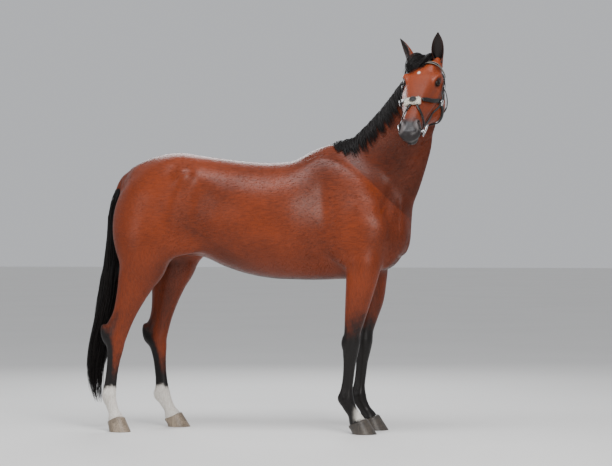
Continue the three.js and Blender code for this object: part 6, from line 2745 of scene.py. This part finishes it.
@dataclass
class Bridle:
    """The bridle: leather straps, their stitches, buckles and rings, and a fleece nose pad."""

    anatomy: Anatomy
    finishes: Finishes
    spacing: float = 0.006
    buckle_place: Place = (0.150, 0.108, -0.096)
    buckle_lift: float = 0.0094
    buckle_frame: Place = (0.023, 0.022, 0.0017)
    """Its width, its height and the radius of its wire."""
    keeper_lift: float = 0.0060
    keeper_size: tuple[float, float] = (0.0215, 0.0068)
    keeper_ahead: tuple[float, float] = (-0.022, 0.021)
    nose_ring_place: Place = (0.255, 0.099, -0.120)
    nose_ring_lift: float = 0.0180
    nose_ring: tuple[float, float] = (0.015, 0.0026)
    """Its radius and the radius of its wire."""
    boss_lift: float = 0.0120
    boss: tuple = ((0.001, 0.0), (0.0105, 0.0), (0.0115, 0.0015), (0.0100, 0.0035),
                   (0.005, 0.0052), (0.001, 0.0056))
    """Radius and height from its foot to its top."""
    bit_place: Place = (0.504, 0.060, -0.118)
    bit_lift: float = 0.0170
    bit_ring: tuple[float, float] = (0.034, 0.0036)
    mouthpiece_end: Place = (0.510, 0.012, -0.114)
    mouthpiece_radius: float = 0.0075
    bit_loop: tuple[float, float] = (0.015, 0.012)
    disc_place: Place = (0.386, -0.006, -0.002)
    disc_lift: float = 0.0190
    disc_profile: tuple = ((0.001, 0.0), (0.0185, 0.0), (0.0202, 0.0012), (0.0202, 0.0034),
                           (0.0188, 0.0050), (0.0164, 0.0056), (0.0152, 0.0050),
                           (0.0080, 0.0058), (0.001, 0.0062))
    disc_seam: tuple[float, float] = (0.0152, 0.0054)
    """The radius and height of its round of stitches."""
    cord_radius: float = 0.0012

    def __post_init__(self) -> None:
        """Gathers the forms of the head that the bridle lies on."""
        head = self.anatomy
        self.flesh = Flesh([head.neck, head.skull, head.jaw, *head.head_muscles()])
        self.stitches: list[Array] = []

    def straps(self) -> list[Strap]:
        """Every strap of the bridle.

        Returns:
            The straps.
        """
        straps = [
            Strap("browband", both_ways(BROWBAND), 0.018, piped=True, stitched=False),
            Strap("crownpiece", both_ways(CROWNPIECE), 0.020),
            Strap("throatlatch", both_ways(THROATLATCH), 0.014, 0.0035),
            Strap("noseband_upper", both_ways(NOSEBAND_UPPER), 0.024, 0.006),
            Strap("noseband_lower", both_ways(NOSEBAND_LOWER), 0.015),
            Strap("nose_pad", NOSE_PAD, 0.048, 0.012, finish="fleece", stitched=False),
        ]
        for side in Side:
            straps.append(Strap(f"cheekpiece_{side.label}", on_side(CHEEKPIECE, side), 0.018))
            straps.append(Strap(f"noseband_headstrap_{side.label}", on_side(HEADSTRAP, side),
                                0.014, 0.0035))
        return straps

    def course(self, path: tuple[tuple[float, ...], ...]) -> tuple[Array, Array]:
        """A smooth course through the points of a path.

        Args:
            path: Rows of along, left, out and lift in the head's measure.

        Returns:
            Places and lifts, evenly spaced.
        """
        rows = np.array([(*HEAD.at(*row[:3]), row[3]) for row in path])
        fine = []
        padded = np.vstack([2 * rows[0] - rows[1], rows, 2 * rows[-1] - rows[-2]])
        for a, b, c, d in zip(padded, padded[1:], padded[2:], padded[3:]):
            for t in np.linspace(0, 1, 24, endpoint=False):
                fine.append(0.5 * (2 * b + (c - a) * t + (2 * a - 5 * b + 4 * c - d) * t**2
                                   + (3 * b - a - 3 * c + d) * t**3))
        fine = np.array([*fine, rows[-1]])
        fine[:, :3] = self.flesh.settle(fine[:, :3], fine[:, 3], rounds=3)
        reach = np.concatenate([[0], np.cumsum(np.linalg.norm(np.diff(fine[:, :3], axis=0),
                                                              axis=1))])
        even = np.linspace(0, reach[-1], max(int(reach[-1] / self.spacing), 8))
        course = np.stack([np.interp(even, reach, fine[:, c]) for c in range(4)], axis=1)
        for _ in range(2):
            course[1:-1] = (course[:-2] + 2 * course[1:-1] + course[2:]) / 4
        return course[:, :3], course[:, 3]

    def band(self, strap: Strap) -> tuple[Array, Callable[[float, float], Array]]:
        """Drapes a strap over the head.

        Args:
            strap: The strap.

        Returns:
            Its rings, and a function that gives the line at a share of its width and height.
        """
        middle, lifts = self.course(strap.path)
        ahead = unit(np.gradient(middle, axis=0))
        _, slope = self.flesh.slope(middle)
        out = unit(slope - (slope * ahead).sum(1, keepdims=True) * ahead)
        for _ in range(2):
            out[1:-1] = unit(out[:-2] + 2 * out[1:-1] + out[2:])
        across = np.cross(out, ahead)
        shares = np.array((-1.0, -0.55, 0.0, 0.55, 1.0))
        count = len(middle)
        spots = middle[:, None] + across[:, None] * (shares * strap.width / 2)[None, :, None]
        laid = self.flesh.settle(spots.reshape(-1, 3), np.repeat(lifts, 5)).reshape(count, 5, 3)
        height = ((laid - middle[:, None]) * out[:, None]).sum(2)
        height = np.maximum(height, -strap.width * 0.22)
        taper = np.ones(count)
        taper[[0, -1]] = 0.75

        def line(share: float, rise: float) -> Array:
            """The line along the strap at a share of its half width and of its height."""
            lift = np.array([np.interp(share, shares, row) for row in height])
            return (middle + across * (share * strap.width / 2 * taper)[:, None]
                    + out * (lift + rise * strap.thick)[:, None])

        profile = ((-0.92, 0.0), (-0.5, 0.0), (0.0, 0.0), (0.5, 0.0), (0.92, 0.0), (1.0, 0.3),
                   (1.0, 0.68), (0.92, 0.93), (0.5, 1.04), (0.0, 1.07), (-0.5, 1.04),
                   (-0.92, 0.93), (-1.0, 0.68), (-1.0, 0.3))
        return np.stack([line(*spot) for spot in profile], axis=1), line

    def build(self) -> None:
        """Builds every piece of the bridle."""
        for strap in self.straps():
            rings, line = self.band(strap)
            made = new_object(f"{strap.node}_band", *loft(rings))
            outward(made)
            made.data.materials.append(self.finishes[strap.finish])
            settle_piece(made, strap.finish, (strap.node,))
            if strap.stitched:
                self.stitches += [line(-0.78, 1.0), line(0.78, 1.0)]
            if strap.piped:
                self.piping(line)
            if strap.finish == "fleece":
                self.fleece(rings)
        for side in Side:
            self.add_buckle(side)
            self.add_nose_ring(side)
            self.add_bit(side)
        self.add_disc()
        self.sew()

    def seat(self, s: float, l: float, d: float, lift: float) -> Array:
        """Axes on the head at a place: across, ahead, out and the place itself.

        Args:
            s: How far along the face.
            l: How far to the left.
            d: How far out of the face.
            lift: The height over the skin.

        Returns:
            The three axes, then the place.
        """
        spot = self.flesh.settle(HEAD.at(s, l, d)[None], lift, rounds=4)
        _, slope = self.flesh.slope(spot)
        out = unit(slope[0])
        across = unit(np.cross(out, HEAD.along))
        return np.array([across, np.cross(out, across), out, spot[0]])

    def beside(self, place: Place, side: Side, lift: float) -> Array:
        """The seat over a place that is given for the left side."""
        return self.seat(place[0], side.value * place[1], place[2], lift)

    @staticmethod
    def placed(seat: Array, spots: Iterable[Place]) -> Array:
        """Carries places from a seat's axes to the model's."""
        return np.asarray(list(spots), float) @ seat[:3] + seat[3]

    def finish(self, name: str, parts: list[tuple[Array, list]], finish: str,
               nodes: Sequence[str] = ()) -> None:
        """Makes one object of several meshes.

        Args:
            name: The name of the piece.
            parts: The vertices and faces of each.
            finish: The name of its finish.
            nodes: The solids that it replaces.
        """
        made = new_object(name, *joined(parts))
        outward(made)
        made.data.materials.append(self.finishes[finish])
        slot = {"piping": "leather", "thread": "leather"}.get(finish, finish)
        settle_piece(made, slot, nodes)

    def piping(self, line: Callable[[float, float], Array]) -> None:
        """Two pale cords along the browband."""
        self.finish("browband_cords", [tube(line(share, 0.9), self.cord_radius, 8)
                                       for share in (-0.76, 0.76)], "piping")

    def fleece(self, rings: Array) -> None:
        """Woolly tufts over the nose pad.

        Args:
            rings: The rings of the pad.
        """
        rng = np.random.default_rng(61)
        host = new_object("fleece_patch", *loft(rings))
        outward(host)
        count = len(host.data.vertices)
        give(host, "thick", np.ones(count))
        give(host, "length", rng.uniform(0.006, 0.010, count))
        give(host, "lie", unit(rng.normal(size=(count, 3))), "FLOAT_VECTOR")
        flat = np.stack([0.5 + 0.1 * rng.random(count), 0.4 + 0.1 * rng.random(count),
                         np.zeros(count)], axis=1)
        give(host, "flat", flat, "FLOAT_VECTOR")
        made = TuftTree().run(host, "nose_fleece", {
            "Density": 170000.0, "Width": 0.0022, "Thickness": 0.0018, "Tilt": 0.45,
            "Turn": 3.0, "Seed": 9, "Material": self.finishes["fleece"]})
        drop(made, ("thick", "length", "lie", "flat", "spot", "tone"))
        settle_piece(made, "fleece")

    @staticmethod
    def ring(seat: Array, radius: float, wire: float, segments: int = 64) -> tuple[Array, list]:
        """A ring of round wire lying on a seat.

        Args:
            seat: The axes and the place it lies on.
            radius: The radius of its middle line.
            wire: The radius of the wire.
            segments: How many steps go round it.

        Returns:
            The vertices and faces.
        """
        turn = around(segments)
        spots = np.stack([np.cos(turn), np.sin(turn), 0 * turn], axis=1) * radius
        return tube(Bridle.placed(seat, spots), wire, 12, closed=True, up=seat[2])

    def frame(self, seat: Array, wide: float, tall: float, wire: float) -> tuple[Array, list]:
        """A buckle's rounded frame lying on a seat.

        Args:
            seat: The axes and the place it lies on.
            wide: The width in metres.
            tall: The height in metres.
            wire: The radius of the wire.

        Returns:
            The vertices and faces.
        """
        turn = around(40)
        corner = (np.abs(np.cos(turn)) ** 5 + np.abs(np.sin(turn)) ** 5) ** -0.2
        spots = np.stack([np.cos(turn) * corner * wide / 2, np.sin(turn) * corner * tall / 2,
                          0 * turn], axis=1)
        return tube(self.placed(seat, spots), wire, 10, closed=True, up=seat[2])

    def keeper(self, seat: Array, ahead: float, width: float, thick: float) -> tuple[Array, list]:
        """A leather loop round a strap, a little ahead of a seat.

        Args:
            seat: The axes and the place it lies on.
            ahead: How far ahead of the seat it lies.
            width: The width in metres.
            thick: The depth in metres.

        Returns:
            The vertices and faces.
        """
        turn = around(28)
        corner = (np.abs(np.cos(turn)) ** 6 + np.abs(np.sin(turn)) ** 6) ** (-1 / 6)
        spots = np.stack([np.cos(turn) * corner * width / 2, ahead + 0 * turn,
                          np.sin(turn) * corner * thick / 2], axis=1)
        return tube(self.placed(seat, spots), 0.0036, 8, closed=True, flat=0.32, up=seat[2])

    def add_buckle(self, side: Side) -> None:
        """The buckle of the cheekpiece, with its tongue and keepers.

        Args:
            side: The side of the horse.
        """
        seat = self.beside(self.buckle_place, side, self.buckle_lift)
        parts = [self.frame(seat, *self.buckle_frame)]
        parts.append(capsule(*self.placed(seat, ((0, -0.0110, 0.0010), (0, 0.0105, 0.0028))),
                             0.0013))
        parts.append(capsule(*self.placed(seat, ((-0.0105, -0.009, 0.0), (0.0105, -0.009, 0.0))),
                             0.0014))
        self.finish(f"cheek_buckle_frame_{side.label}", parts, "steel",
                    (f"cheek_buckle_{side.label}",))
        seat = self.beside(self.buckle_place, side, self.keeper_lift)
        keepers = [self.keeper(seat, ahead, *self.keeper_size) for ahead in self.keeper_ahead]
        self.finish(f"cheek_keepers_{side.label}", keepers, "leather")

    def add_nose_ring(self, side: Side) -> None:
        """The ring on the cheek where the straps of the noseband meet.

        Args:
            side: The side of the horse.
        """
        seat = self.beside(self.nose_ring_place, side, self.nose_ring_lift)
        parts = [self.ring(seat, *self.nose_ring)]
        self.finish(f"noseband_ring_wire_{side.label}", parts, "steel",
                    (f"noseband_ring_{side.label}",))
        boss = self.beside(self.nose_ring_place, side, self.boss_lift)
        self.finish(f"noseband_boss_{side.label}", [self.turned(boss, self.boss)], "leather")

    def add_bit(self, side: Side) -> None:
        """The ring of the bit, the end of its mouthpiece, and the loop of the cheekpiece.

        Args:
            side: The side of the horse.
        """
        seat = self.beside(self.bit_place, side, self.bit_lift)
        parts = [self.ring(seat, *self.bit_ring, 80)]
        inner = HEAD.at(*on_side((self.mouthpiece_end,), side)[0])
        outer = self.placed(seat, ((0.0, -0.004, 0.004),))[0]
        parts.append(capsule(inner, outer, self.mouthpiece_radius, 16))
        self.finish(f"bit_ring_wire_{side.label}", parts, "steel", (f"bit_ring_{side.label}",))
        loop = self.placed(seat, ((0.0, -self.bit_ring[0], 0.0),))[0]
        keeper = self.keeper(np.vstack([seat[:3], loop]), 0.0, *self.bit_loop)
        self.finish(f"bit_loop_{side.label}", [keeper], "leather")

    def turned(self, seat: Array, profile: Sequence[tuple[float, float]],
               segments: int = 48) -> tuple[Array, list]:
        """A round shape from radius and height, standing on a seat.

        Args:
            seat: The axes and the place it lies on.
            profile: Radius and height of each round.
            segments: How many steps go round it.

        Returns:
            The vertices and faces.
        """
        turn = around(segments)
        rings = [self.placed(seat, np.stack([np.cos(turn) * r, np.sin(turn) * r, 0 * turn + h],
                                            axis=1)) for r, h in profile]
        return loft(np.array(rings))

    def add_disc(self) -> None:
        """The round leather patch where the noseband crosses on the nose."""
        seat = self.seat(*self.disc_place, self.disc_lift)
        self.finish("nose_disc_leather", [self.turned(seat, self.disc_profile)], "leather",
                    ("nose_disc",))
        turn = np.linspace(0, 2 * math.pi, 60)
        radius, height = self.disc_seam
        self.stitches.append(self.placed(seat, np.stack(
            [np.cos(turn) * radius, np.sin(turn) * radius, height + 0 * turn], axis=1)))

    def sew(self) -> None:
        """Sets the stitches along the straps."""
        vertices, edges, start = [], [], 0
        for line in self.stitches:
            vertices.append(line)
            edges += [(start + i, start + i + 1) for i in range(len(line) - 1)]
            start += len(line)
        host = new_object("stitch_lines", np.vstack(vertices), edges=edges)
        made = StitchTree().run(host, "bridle_stitches", {
            "Pitch": 0.0052, "Length": 0.0036, "Radius": 0.00055,
            "Material": self.finishes["thread"]})
        settle_piece(made, "leather")


# ---- studio ------------------------------------------------------------------------------


@dataclass
class Studio:
    """The floor, the light and the camera."""

    finishes: Finishes
    floor_reach: float = 60.0
    lens: float = 119.8
    away: float = 12.0
    aside: float = 0.274
    height: float = 1.15
    heading: float = 9.0
    shift: float = 0.0033
    world: tuple = (0.90, 0.92, 0.96, 1.0)
    world_strength: float = 0.62
    # name, place, what it points at, reach, watts, colour
    LIGHTS = (
        ("overhead", (0.2, -1.6, 5.0), (0.1, 0.2, 1.2), (3.6, 2.0), 185.0, (0.95, 0.97, 1.0)),
        ("key", (3.0, -5.6, 3.4), (0.1, 0.0, 1.2), (2.0, 2.0), 210.0, (1.0, 0.98, 0.95)),
        ("fill", (-4.2, -5.0, 2.4), (-0.2, 0.0, 1.0), (2.6, 2.6), 60.0, (1.0, 0.99, 0.97)),
        ("back", (-1.0, 4.5, 3.6), (0.0, 0.0, 1.3), (3.0, 2.0), 120.0, (0.96, 0.98, 1.0)),
    )

    def build(self) -> None:
        """Sets the stage."""
        self.floor()
        self.lights()
        self.camera()

    def floor(self) -> None:
        """A plain pale floor."""
        corners = np.array(((-1, -1, 0), (1, -1, 0), (1, 1, 0), (-1, 1, 0)), float)
        floor = new_object("floor", corners * self.floor_reach, [(0, 1, 2, 3)], moved=False)
        floor.data.materials.append(self.finishes["floor"])

    def lights(self) -> None:
        """Soft lamps and an even pale surround."""
        world = bpy.data.worlds.new("surround")
        world.use_nodes = True
        shade = world.node_tree.nodes["Background"]
        shade.inputs[0].default_value = self.world
        shade.inputs[1].default_value = self.world_strength
        bpy.context.scene.world = world
        for name, place, target, reach, watts, tint in self.LIGHTS:
            lamp = bpy.data.lights.new(name, "AREA")
            lamp.shape = "RECTANGLE"
            lamp.size, lamp.size_y = reach
            lamp.energy = watts
            lamp.color = tint
            made = bpy.data.objects.new(name, lamp)
            bpy.context.scene.collection.objects.link(made)
            z = unit(np.array(place) - np.array(target))
            x = unit(np.cross((0, 0, 1), z))
            axes = np.stack([x, np.cross(z, x), z], axis=1)
            made.matrix_world = Matrix([[*axes[i], place[i]] for i in range(3)]
                                       + [[0, 0, 0, 1]])

    def camera(self) -> None:
        """The camera, level and a little to the right of the shoulder."""
        turn = math.radians(self.heading)
        right = np.array((math.cos(turn), math.sin(turn), 0.0))
        back = np.array((math.sin(turn), -math.cos(turn), 0.0))
        lens = bpy.data.cameras.new("camera")
        lens.lens = self.lens
        lens.sensor_width = 36.0
        lens.shift_y = self.shift
        lens.clip_end = 200.0
        camera = bpy.data.objects.new("camera", lens)
        lifted = np.array((0, 0, self.height))
        camera.location = right * self.aside + lifted + back * self.away + STAND
        camera.rotation_euler = (math.pi / 2, 0.0, turn)
        bpy.context.scene.collection.objects.link(camera)
        bpy.context.scene.camera = camera


def main() -> None:
    """Builds the horse piece by piece and reports on each."""
    logging.basicConfig(level=logging.INFO, format="%(message)s")
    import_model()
    finishes = Finishes()
    anatomy = Anatomy()
    skin = Skin(anatomy, Coat(anatomy), finishes)
    skin.shape()
    skin.dress()
    TuftCoat(skin, finishes).build()
    LongHair(anatomy, skin.flesh, finishes).build()
    Eyes(finishes).build()
    Hooves(finishes).build()
    Bridle(anatomy, finishes).build()
    Studio(finishes).build()


if __name__ == "__main__":
    main()
